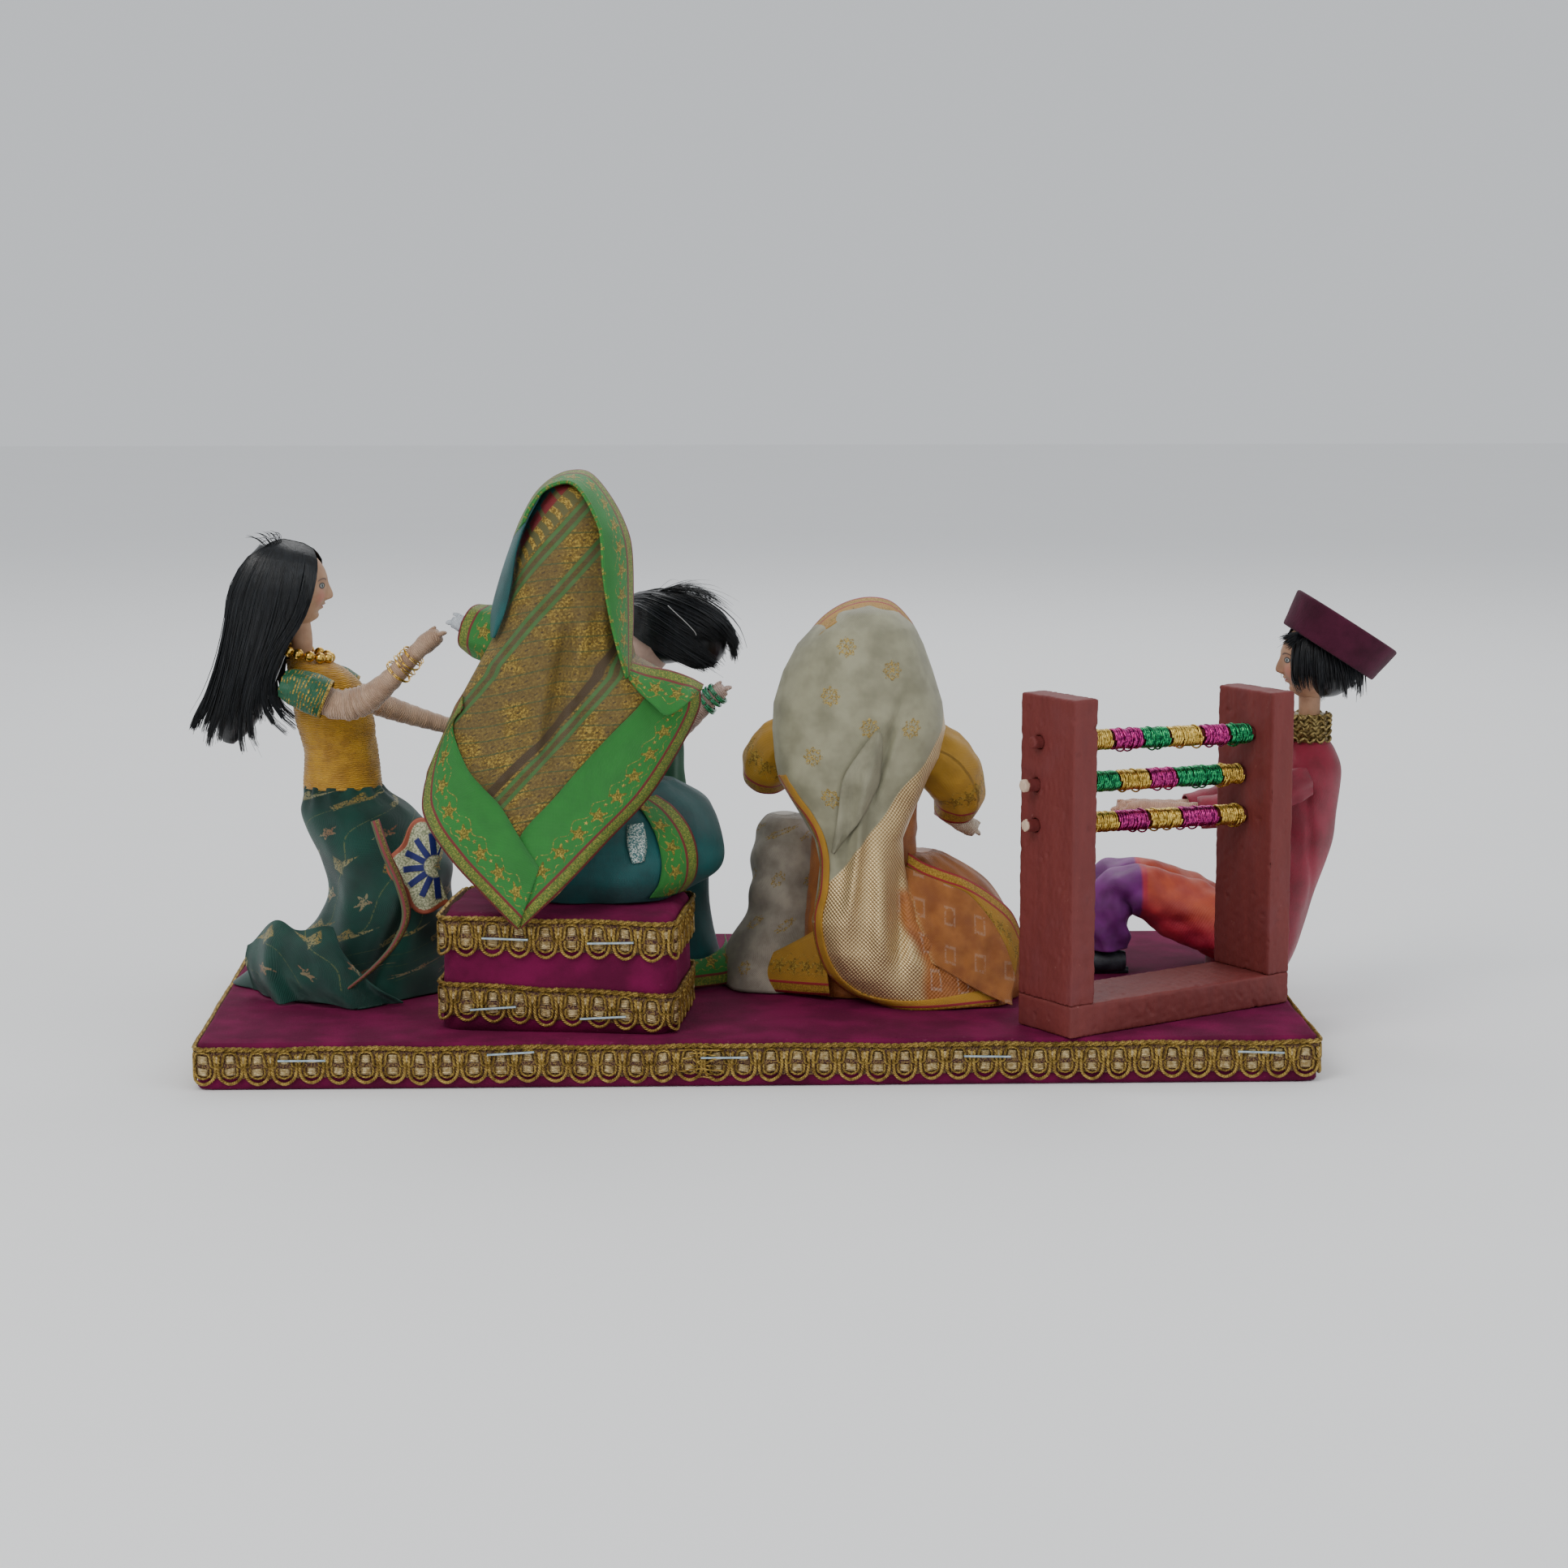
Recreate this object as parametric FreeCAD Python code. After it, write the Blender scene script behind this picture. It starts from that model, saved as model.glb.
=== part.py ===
import FreeCAD, Part
import math
import os

# A handmade doll tableau of a bangle seller's visit, in millimetres.
# The origin is the centre of the board's underside. +X runs along the board from the kneeling girl
# to the seller, +Y points to the side that the seated dolls face, and +Z is up.
# Clothes, hair and skin are stuffed or wound by hand, so they are plain closed solids here.

Vec = FreeCAD.Vector
UP = Vec(0, 0, 1)

# The board and what covers it.
BOARD_LENGTH = 305.0
BOARD_DEPTH = 146.0
BOARD_TOP = 12.5
VELVET = 0.8
LACE = 1.2
LACE_HEIGHT = 11.4
CORNER = 2.0

# The velvet seat box, turned a little on the board.
SEAT_CORNER = Vec(-87.8, -57.9, BOARD_TOP)
SEAT_YAW = -7.1
SEAT_WIDTH = 65.0
SEAT_DEPTH = 45.0
SEAT_HEIGHT = 32.7
SEAT_TOP = BOARD_TOP + SEAT_HEIGHT
SEAT_LACE_HEIGHT = 11.9
UPPER_LACE_LOW = 20.6
LOWER_LACE_LOW = 0.6

# Office staples hold the lace. Each is placed by its middle along the near side and its height.
STAPLE_CROWN = 12.7
STAPLE_LEG = 5.0
STAPLE_WIRE = 0.5
BOARD_STAPLES = [(-123.8, 8.0, 0.0), (-67.5, 9.6, -3.0), (-9.8, 8.0, 0.0), (61.6, 7.8, 1.0), (136.2, 8.4, 2.0)]
SEAT_STAPLES = [(18.8, 26.0, 1.0), (47.8, 25.4, -2.0), (15.3, 6.6, -5.0), (45.6, 4.6, -4.0)]

# The bangle stand: a plank with two uprights, and three dowels through them.
STAND_CORNER = Vec(84.0, -75.0, BOARD_TOP)
STAND_YAW = 32.9
STAND_LENGTH = 80.1
STAND_DEPTH = 22.9
PLANK = 8.9
UPRIGHT = 8.2
LEFT_HEIGHT = 92.5
RIGHT_HEIGHT = 89.2
DOWEL_RADIUS = 1.75
HOLE_CLEARANCE = 0.08
COIL_RADIUS = 3.05
COIL_GAP = 0.25
COIL_START = 8.7
# Each dowel: its left and right holes as (depth, height) on the uprights' inner frame, how far it
# stands out on the left, and its coils as (colour, end), measured along it from the left face.
DOWELS = {
    "top": ((14.9, 79.6), (9.3, 76.9), 2.6,
            [("gold", 23.3), ("magenta", 33.2), ("green", 42.7),
             ("gold", 54.2), ("magenta", 63.3), ("green", 71.3)]),
    "middle": ((16.1, 67.7), (12.9, 65.0), 4.6,
               [("green", 27.2), ("gold", 37.7), ("magenta", 47.2), ("green", 63.2), ("gold", 71.3)]),
    "bottom": ((16.2, 56.6), (11.9, 53.5), 3.6,
               [("gold", 26.6), ("magenta", 37.6), ("gold", 48.7), ("magenta", 62.0), ("gold", 71.3)]),
}

# Every doll's head is an egg of these radii on a thin neck.
HEAD = (9.0, 9.0, 11.6)
NECK_RADIUS = 2.8
NECK_DROP = 19.5
HAIR_GAP = 0.05

made = {}


# Shapes -----------------------------------------------------------------------------------------

def ball(x, y, z, rx, ry, rz, tilt=0.0):
    """An ellipsoid, tilted about Y by so many degrees."""
    matrix = FreeCAD.Matrix()
    matrix.scale(Vec(rx, ry, rz))
    shape = Part.makeSphere(1.0).transformGeometry(matrix)
    shape.rotate(Vec(0, 0, 0), Vec(0, 1, 0), tilt)
    shape.translate(Vec(x, y, z))
    return shape


def robe(levels):
    """A solid through level ellipses, each given as (x, y, z, x radius, y radius)."""
    wires = []
    for x, y, z, rx, ry in levels:
        matrix = FreeCAD.Matrix()
        matrix.scale(Vec(rx, ry, 1.0))
        wire = Part.Wire(Part.makeCircle(1.0)).transformGeometry(matrix)
        wire.translate(Vec(x, y, z))
        wires.append(wire)
    return Part.makeLoft(wires, True, False)


def limb(points):
    """A round limb through points given as (x, y, z, radius)."""
    places = [Vec(*p[:3]) for p in points]
    wires = []
    for i, place in enumerate(places):
        along = places[min(i + 1, len(places) - 1)] - places[max(i - 1, 0)]
        wires.append(Part.Wire(Part.makeCircle(points[i][3], place, along)))
    return Part.makeLoft(wires, True, False)


def rod(start, end, radius):
    return Part.makeCylinder(radius, (end - start).Length, start, end - start)


def ring(x, y, z, direction, radius, wire):
    """A bangle: a torus of the given middle radius and wire radius."""
    return Part.makeTorus(radius, wire, Vec(x, y, z), Vec(*direction))


def rounded_block(length, depth, height, corner, radius):
    """A box with round upright corners."""
    shape = Part.makeBox(length, depth, height, corner)
    edges = [e for e in shape.Edges if abs(e.tangentAt(e.FirstParameter).z) > 0.99]
    return shape.makeFillet(radius, edges)


def band(length, depth, wall, low, height, radius):
    """A flat band round a block that has its near left lower corner at the origin."""
    outer = rounded_block(length + 2 * wall, depth + 2 * wall, height, Vec(-wall, -wall, low), radius + wall)
    return outer.cut(rounded_block(length, depth, height, Vec(0, 0, low), radius))


def staple(x, z, lean):
    """A staple in a near face at y = 0: its crown stands on the face and its legs point along +Y."""
    half = STAPLE_CROWN / 2
    wire = STAPLE_WIRE
    crown = Part.makeBox(STAPLE_CROWN, wire, wire, Vec(-half, -wire, -wire / 2))
    left = Part.makeBox(wire, STAPLE_LEG, wire, Vec(-half, 0, -wire / 2))
    right = Part.makeBox(wire, STAPLE_LEG, wire, Vec(half - wire, 0, -wire / 2))
    shape = crown.fuse([left, right]).removeSplitter()
    shape.rotate(Vec(0, 0, 0), Vec(0, 1, 0), lean)
    shape.translate(Vec(x, 0, z))
    return shape


def cloak(levels, openings, *names):
    """A hood and back through level ellipses, open at the front and cut to fit the named pieces.

    openings lists (lowest z, highest z, y): there the cloth stops at that y."""
    shape = robe(levels)
    for low, high, front in openings:
        shape = shape.cut(Part.makeBox(400, 200, high - low, Vec(-200, front, low)))
    return carve(shape, *names)


def joined(*shapes):
    return shapes[0].fuse(list(shapes[1:])).removeSplitter()


def carve(shape, *names):
    """Cuts the named pieces out of a shape and keeps its largest solid, so that it fits round them."""
    for name in names:
        shape = shape.cut(made[name])
    return max(shape.Solids, key=lambda solid: solid.Volume)


def placed(shape, corner, yaw):
    shape.rotate(Vec(0, 0, 0), UP, yaw)
    shape.translate(corner)
    return shape


# Base and seat box ------------------------------------------------------------------------------

def covered_block(length, depth, height):
    """A block in its velvet cover, with the near left lower corner at the origin: (block, cover)."""
    core = rounded_block(length - 2 * VELVET, depth - 2 * VELVET, height - VELVET,
                         Vec(VELVET, VELVET, 0), CORNER - VELVET)
    cover = rounded_block(length, depth, height, Vec(0, 0, 0), CORNER).cut(core)
    return core, cover


def make_base_and_seat():
    corner = Vec(-BOARD_LENGTH / 2, -BOARD_DEPTH / 2, 0)
    board, velvet = covered_block(BOARD_LENGTH, BOARD_DEPTH, BOARD_TOP)
    lace = band(BOARD_LENGTH, BOARD_DEPTH, LACE, BOARD_TOP - LACE_HEIGHT, LACE_HEIGHT, CORNER)
    board_set = [placed(s, corner, 0.0) for s in (board, velvet, lace)]
    board_staples = []
    for x, z, lean in BOARD_STAPLES:
        board_staples.append(placed(staple(x, z, lean), Vec(0, corner.y - LACE, 0), 0.0))

    seat, seat_velvet = covered_block(SEAT_WIDTH, SEAT_DEPTH, SEAT_HEIGHT)
    bands = []
    for low in (LOWER_LACE_LOW, UPPER_LACE_LOW):
        bands.append(band(SEAT_WIDTH, SEAT_DEPTH, LACE, low, SEAT_LACE_HEIGHT, CORNER))
    seat_lace = Part.makeCompound(bands)
    seat_set = [placed(s, SEAT_CORNER, SEAT_YAW) for s in (seat, seat_velvet, seat_lace)]
    seat_staples = []
    for x, z, lean in SEAT_STAPLES:
        shape = staple(x, z, lean)
        shape.translate(Vec(0, -LACE, 0))
        seat_staples.append(placed(shape, SEAT_CORNER, SEAT_YAW))

    for name, shape in zip(("base_board", "base_velvet", "base_lace"), board_set):
        made[name] = shape.cut(board_staples)
    for name, shape in zip(("seat_block", "seat_velvet", "seat_lace"), seat_set):
        made[name] = shape.cut(seat_staples)
    made["staples"] = Part.makeCompound(board_staples + seat_staples)


# Bangle stand -----------------------------------------------------------------------------------

def on_stand(along, depth, height):
    yaw = math.radians(STAND_YAW)
    x = along * math.cos(yaw) - depth * math.sin(yaw)
    y = along * math.sin(yaw) + depth * math.cos(yaw)
    return STAND_CORNER + Vec(x, y, height)


def make_stand():
    plank = Part.makeBox(STAND_LENGTH, STAND_DEPTH, PLANK)
    left = Part.makeBox(UPRIGHT, STAND_DEPTH, LEFT_HEIGHT - PLANK, Vec(0, 0, PLANK))
    right = Part.makeBox(UPRIGHT, STAND_DEPTH, RIGHT_HEIGHT - PLANK, Vec(STAND_LENGTH - UPRIGHT, 0, PLANK))
    plank, left, right = [placed(s, STAND_CORNER, STAND_YAW) for s in (plank, left, right)]

    for name, (left_hole, right_hole, proud, coils) in DOWELS.items():
        start = on_stand(0, *left_hole)
        along = (on_stand(STAND_LENGTH - UPRIGHT, *right_hole) - start).normalize()
        length = STAND_LENGTH / (along.x * math.cos(math.radians(STAND_YAW))
                                 + along.y * math.sin(math.radians(STAND_YAW)))
        bore = rod(start - along * 10, start + along * (length + 10), DOWEL_RADIUS + HOLE_CLEARANCE)
        left = left.cut(bore)
        right = right.cut(bore)
        made["rod_" + name] = rod(start - along * proud, start + along * (length - 0.6), DOWEL_RADIUS)
        begin = COIL_START
        colours = {}
        for colour, end in coils:
            outer = rod(start + along * begin, start + along * (end - COIL_GAP), COIL_RADIUS)
            inner = rod(start + along * (begin - 1), start + along * (end + 1), DOWEL_RADIUS)
            colours.setdefault(colour, []).append(outer.cut(inner))
            begin = end
        for colour, tubes in colours.items():
            made["coils_" + name + "_" + colour] = Part.makeCompound(tubes)
        axis = "axis %.6f %.6f %.6f" % (along.x, along.y, along.z)
        print("rod_" + name, "start %.3f %.3f %.3f" % (start.x, start.y, start.z), axis)

    made["stand_plank"] = plank
    made["stand_left_upright"] = left
    made["stand_right_upright"] = right


# Dolls ------------------------------------------------------------------------------------------

def head(x, y, z, neck_shift=0.0):
    """A head on its neck, which can stand a little in front of the head's middle."""
    neck = rod(Vec(x + neck_shift, y, z - NECK_DROP), Vec(x + neck_shift, y, z - 8), NECK_RADIUS)
    return joined(ball(x, y, z, *HEAD), neck)


def make_girl():
    made["girl_head"] = head(-130.5, 0, 128.5, 1.0)
    scalp = robe([(-134, 0, 141.8, 5, 5), (-136.5, 0, 138, 10, 10.5), (-139.5, 0, 128, 10.8, 12),
                  (-141.5, 0, 116, 8.8, 10.5), (-145.5, 0, 104, 8, 9.5), (-149, 0, 92, 10, 10),
                  (-151, 0, 80, 11, 8)])
    collar_room = Part.makeCylinder(9.4, 7.0, Vec(-128.9, 0, 106.8))
    face_room = ball(-130.5, 0, 128.5, *[radius + HAIR_GAP for radius in HEAD])
    neck_room = Part.makeCylinder(NECK_RADIUS + HAIR_GAP, 14.0, Vec(-129.5, 0, 106.8))
    made["girl_hair"] = max(scalp.cut([collar_room, face_room, neck_room]).Solids, key=lambda s: s.Volume)
    made["girl_earrings"] = Part.makeCompound([ball(-129.5, s * 10.4, 124.5, 1.0, 1.0, 1.0) for s in (-1, 1)])

    torso = robe([(-118.5, 0, 71.5, 11.5, 8.5), (-119, 0, 80, 10.8, 8.2), (-121, 0, 92, 11.3, 8.8),
                  (-123, 0, 101, 10.5, 8.6), (-126.5, 0, 107, 7, 6.5), (-129.5, 0, 108.6, 4.2, 4.2)])
    made["girl_torso"] = torso
    beads = []
    for i in range(12):
        turn = math.radians(30 * i)
        beads.append(ball(-128.2 + 6.6 * math.cos(turn), 6.6 * math.sin(turn),
                          109.9 - 1.4 * math.cos(turn), 1.55, 1.55, 1.55))
    made["girl_necklace"] = joined(*beads)
    made["girl_torso"] = made["girl_torso"].cut(made["girl_necklace"])

    right_arm = limb([(-124.5, -13.6, 99.5, 4.0), (-118, -14.6, 96.8, 4.2), (-110.5, -15.6, 98.2, 4.0),
                      (-103, -17.8, 104, 3.2), (-96, -20.4, 111.5, 2.5), (-91, -21.6, 116, 3.1),
                      (-86.6, -22.4, 118.4, 1.4)])
    left_arm = limb([(-117.5, 13.6, 97, 3.7), (-109, 17, 92.6, 3.5), (-100, 21, 88.8, 3.0),
                     (-91, 24, 85.6, 2.5), (-86, 25.2, 84, 2.9), (-80.5, 26, 82.4, 1.3)])
    made["girl_right_arm"] = right_arm
    made["girl_left_arm"] = left_arm
    right_cuff = limb([(-132.5, -14.4, 102.5, 3.4), (-127, -14.5, 100.6, 5.4), (-121.5, -14.6, 98.4, 5.5)])
    left_cuff = limb([(-129, 14.4, 101.6, 3.4), (-123, 14.4, 99.6, 5.2), (-116.6, 14.6, 96.6, 5.0)])
    made["girl_right_cuff"] = carve(right_cuff, "girl_right_arm")
    made["girl_left_cuff"] = carve(left_cuff, "girl_left_arm")
    bangles = []
    for x, y, z, radius in ((-100.6, -18.7, 106.4, 3.9), (-98.2, -19.6, 109, 3.6), (-96.4, -20.3, 111, 3.4)):
        bangles.append(ring(x, y, z, (7, -2.6, 7.5), radius, 0.45))
    made["girl_bangles"] = Part.makeCompound(bangles).cut(made["girl_right_arm"])

    body = robe([(-118.5, 0, 71.4, 12, 9), (-114, 2, 64, 17, 14), (-107, 5, 50, 21, 20),
                 (-106, 8, 36, 18, 22), (-112, 10, 24, 27, 28), (-118, 11, BOARD_TOP, 32, 35)])
    made["girl_skirt"] = carve(body, "seat_block", "seat_velvet", "seat_lace")


def make_lady():
    made["lady_head"] = head(-50.5, -37, 149.5)
    made["lady_torso"] = carve(robe([(-50, -36, SEAT_TOP, 15, 11), (-50, -36, 70, 13, 10),
                                     (-50.5, -36.5, 98, 13, 9), (-50.5, -37, 118, 14, 7),
                                     (-50.5, -37, 126, 8, 5.5), (-50.5, -37, 130.2, 4, 4)]), "lady_head")
    made["lady_left_arm"] = limb([(-66, -34, 116, 3.4), (-72, -31.5, 117.5, 3.2), (-77, -29, 119.5, 2.6),
                                  (-80.5, -27, 120.6, 2.7), (-84.4, -25, 121.2, 1.3)])
    sleeve = limb([(-63, -36, 115.5, 5.2), (-68, -34, 117, 7.2), (-74, -31, 118.5, 7.6), (-79, -28.4, 120.2, 6.4)])
    made["lady_left_sleeve"] = carve(sleeve, "lady_left_arm", "lady_torso")
    made["lady_right_arm"] = carve(limb([(-40, -28, 108, 4.2), (-34, -14, 98, 4.0), (-34, -4, 92, 3.0),
                                         (-38, 3, 90, 2.6), (-43, 8, 89, 1.2)]), "lady_torso")
    lap = robe([(-45, -17, SEAT_TOP, 24, 15), (-43, -18, 52, 32, 20), (-41, -18.5, 61, 32, 20),
                (-38, -19, 70, 25, 15), (-36, -19, 75.5, 14, 8)])
    front = robe([(-44, 1, 62, 27, 9), (-44, 2, 54, 30, 11), (-43, 6, 36, 30, 12), (-41, 7, BOARD_TOP, 31, 14)])
    made["lady_sari"] = carve(lap.fuse(front), "lady_torso")
    levels = [(-50, -38, 164, 4, 4), (-50.5, -38.5, 160, 11, 11), (-50.5, -39, 150, 14.5, 14.5),
              (-51.5, -41, 138, 16.5, 14.5), (-53, -43, 125, 19.5, 12.5), (-54, -45.5, 112, 23.5, 11),
              (-49.5, -48.5, 101, 32, 9), (-57.5, -50.5, 85, 32, 7.5), (-64, -54.5, 71, 25.5, 6.5),
              (-64, -59.5, 58, 14, 5), (-65, -64, 46.2, 3, 1.6)]
    made["lady_pallu"] = cloak(levels, [(130.6, 200, -34), (0, 130.6, -47.8)], "lady_head")


def make_companion():
    made["companion_head"] = head(-31, 24, 111)
    hair = joined(ball(-27, 24.5, 113, 15, 11.5, 12.5, 10), ball(-15, 25, 108, 11.5, 9, 12, -20))
    made["companion_hair"] = carve(hair, "companion_head")
    dress = robe([(-31, 38, BOARD_TOP, 17, 15), (-31, 34, 40, 15, 13), (-31, 28, 66, 11, 9),
                  (-31, 24.5, 84, 10, 7.5), (-31, 24, 91.5, 4, 4)])
    made["companion_dress"] = dress
    arm = limb([(-22, 17, 85, 3.6), (-17, 12, 90, 3.0), (-12, 10, 95, 2.4), (-8.5, 9.6, 97.4, 2.4),
                (-5.6, 9.4, 98.6, 1.2)])
    made["companion_arm"] = carve(arm, "companion_dress", "companion_hair")
    bangles = [ring(x, y, z, (4.6, -0.8, 3.8), radius, 0.5)
               for x, y, z, radius in ((-13.6, 10.6, 93.4, 3.5), (-12, 10, 95, 3.3), (-10.5, 9.8, 96.1, 3.2))]
    made["companion_bangles"] = Part.makeCompound(bangles).cut(made["companion_arm"])


def make_elder():
    made["elder_head"] = head(33, -14, 112)
    torso = robe([(30, -9, BOARD_TOP, 19, 15), (30, -11, 45, 16, 12), (32, -14, 78, 14, 9.5),
                  (33, -14, 89, 8, 6), (33, -14, 92.8, 4, 4)])
    made["elder_torso"] = carve(torso, "elder_head")
    made["elder_right_hand"] = limb([(55, 0.5, 63.5, 3.0), (59, 1.5, 60.6, 2.6), (62.5, 2.5, 58.2, 2.8),
                                     (66, 3, 55.6, 1.4)])
    made["elder_left_sleeve"] = carve(limb([(17, -11, 88, 6), (9, -6, 84, 7.4), (4.5, -1, 78, 7.6),
                                            (4, 4, 72, 6.0)]), "elder_torso")
    right = limb([(46, -12, 84, 8), (54, -7, 78, 9), (59.5, -2.5, 69, 7.2), (58, 0.5, 62.5, 5.4)])
    made["elder_right_sleeve"] = carve(right, "elder_torso", "elder_right_hand")
    seated = joined(robe([(4, 4, 61, 5, 6), (4, 4, 54, 9, 10), (4, 2, 34, 9, 13), (4, 0, BOARD_TOP, 13, 16)]),
                    robe([(47, -12, 52.5, 7, 8), (52, -12, 44, 15, 14), (55, -13, 28, 18.5, 18),
                          (55, -14, BOARD_TOP, 19, 21)]),
                    robe([(28, 6, 46, 22, 12), (28, 10, 28, 26, 16), (28, 11, BOARD_TOP, 28, 18)]))
    made["elder_sari"] = carve(seated, "elder_torso", "elder_left_sleeve", "elder_right_sleeve",
                               "elder_right_hand", "lady_sari")
    levels = [(32.5, -15, 126, 4, 4), (32.5, -15.5, 122, 11.5, 11.5), (31, -17, 113, 17.5, 15),
              (29.5, -20, 97, 23, 14), (29.5, -23, 88, 23.5, 12.5), (28, -26, 76, 20, 10),
              (28, -28.5, 60, 14.5, 8), (32, -30.5, 42, 17, 7), (39, -32, 28, 20, 6.5),
              (49, -33, BOARD_TOP, 22, 6)]
    openings = [(100, 200, -10), (62, 100, -25.2), (0, 62, -27)]
    made["elder_pallu"] = cloak(levels, openings, "elder_head", "elder_sari")


def make_seller():
    made["seller_head"] = head(164.5, 17, 104)
    tilt = 32.4
    cap_axis = Vec(math.sin(math.radians(tilt)), 0, math.cos(math.radians(tilt)))
    cap_foot = Vec(169.5, 17, 106.9)
    cap = Part.makeCone(15.4, 17.4, 11.0, cap_foot, cap_axis)
    made["seller_cap"] = carve(cap, "seller_head")
    hair = joined(ball(169.5, 17, 103.5, 10.5, 11, 12, 10))
    below_cap = Part.makeCylinder(40, 40, cap_foot, cap_axis)
    made["seller_hair"] = carve(hair.cut(below_cap), "seller_head", "seller_cap")
    made["seller_kurta"] = robe([(147, 16, BOARD_TOP, 12.5, 13), (150.5, 16, 26, 13.5, 13),
                                 (158.5, 16, 50, 12.8, 12), (162, 16.5, 66, 11.6, 11),
                                 (164, 17, 75, 10, 10), (165, 17, 81, 5.5, 5.5)])
    collar = rod(Vec(164.5, 17, 80.6), Vec(164.5, 17, 89), 6.4).cut(rod(Vec(164.5, 17, 79), Vec(164.5, 17, 90), 4.6))
    made["seller_collar"] = carve(collar, "seller_kurta", "seller_head", "seller_hair")
    for side, y, drop in (("left", 0.4, 0.0), ("right", 33.0, -3.0)):
        toward = 1 if side == "left" else -1
        arm = limb([(160, y, 70.5 + drop / 3, 4.6), (150, y + 1.0 * toward, 66.5 + drop / 2, 5.0),
                    (140, y + 2.5 * toward, 62.6 + drop, 4.6), (131, y + 4.0 * toward, 61.2 + drop, 3.6),
                    (122, y + 5.0 * toward, 61.6 + drop, 3.0), (113, y + 6.0 * toward, 61.8 + drop, 3.2),
                    (106.4, y + 6.5 * toward, 62 + drop, 1.6)])
        made["seller_" + side + "_arm"] = arm
    legs = []
    for y in (9.5, 23.5):
        legs.append(limb([(143, y + 1, 24, 9.0), (127, y, 31, 8.4), (112, y, 37, 7.4), (106.5, y, 30, 6.8),
                          (105.5, y, 21, 5.6)]))
    made["seller_legs"] = carve(joined(*legs), "seller_kurta")
    shoes = [limb([(110, y, 16.0, 3.1), (105, y, 16.2, 3.3), (98, y, 15.7, 2.8), (94, y, 15.3, 1.6)])
             for y in (9.5, 23.5)]
    made["seller_shoes"] = Part.makeCompound(shoes).cut(made["seller_legs"])


make_base_and_seat()
make_stand()
make_girl()
make_lady()
make_companion()
make_elder()
make_seller()

os.makedirs("parts", exist_ok=True)
for name, shape in made.items():
    volume = sum(solid.Volume for solid in shape.Solids)
    print("%-22s %2d solids %9.1f mm3  valid %s" % (name, len(shape.Solids), volume, shape.isValid()))
    shape.exportStep(os.path.join("parts", name + ".step"))
print(len(made), "nodes")
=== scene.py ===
import math
import random

import bpy
import numpy as np
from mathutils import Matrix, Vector


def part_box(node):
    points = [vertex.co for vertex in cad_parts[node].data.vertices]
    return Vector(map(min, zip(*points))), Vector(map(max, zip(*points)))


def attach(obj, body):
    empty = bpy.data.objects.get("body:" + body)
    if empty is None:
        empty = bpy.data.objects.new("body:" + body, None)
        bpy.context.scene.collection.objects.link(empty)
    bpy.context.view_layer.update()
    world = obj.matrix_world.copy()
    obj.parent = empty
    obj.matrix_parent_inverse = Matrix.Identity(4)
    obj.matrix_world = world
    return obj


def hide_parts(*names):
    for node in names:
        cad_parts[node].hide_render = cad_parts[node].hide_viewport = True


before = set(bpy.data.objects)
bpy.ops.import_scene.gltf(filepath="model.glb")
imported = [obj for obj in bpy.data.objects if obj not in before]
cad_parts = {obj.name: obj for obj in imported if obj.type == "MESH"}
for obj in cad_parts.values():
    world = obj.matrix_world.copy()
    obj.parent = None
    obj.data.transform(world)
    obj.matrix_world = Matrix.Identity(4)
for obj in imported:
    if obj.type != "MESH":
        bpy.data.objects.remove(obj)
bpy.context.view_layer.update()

MM = 0.001


# Places from the frame, in millimetres -----------------------------------------------------------

def box_of(node):
    low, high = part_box(node)
    return np.array(low) / MM, np.array(high) / MM


# Shader building ---------------------------------------------------------------------------------

class Value:
    """A number or colour socket in a material, with arithmetic."""

    def __init__(self, tree, socket):
        self.tree = tree
        self.socket = socket

    def __add__(self, other):
        return self.tree.math("ADD", self, other)

    def __sub__(self, other):
        return self.tree.math("SUBTRACT", self, other)

    def __rsub__(self, other):
        return self.tree.math("SUBTRACT", other, self)

    def __mul__(self, other):
        return self.tree.math("MULTIPLY", self, other)

    def __truediv__(self, other):
        return self.tree.math("DIVIDE", self, other)

    def __or__(self, other):
        return self.tree.math("MAXIMUM", self, other)

    def __and__(self, other):
        return self.tree.math("MINIMUM", self, other)

    def __abs__(self):
        return self.tree.math("ABSOLUTE", self)

    __radd__ = __add__
    __rmul__ = __mul__


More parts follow.
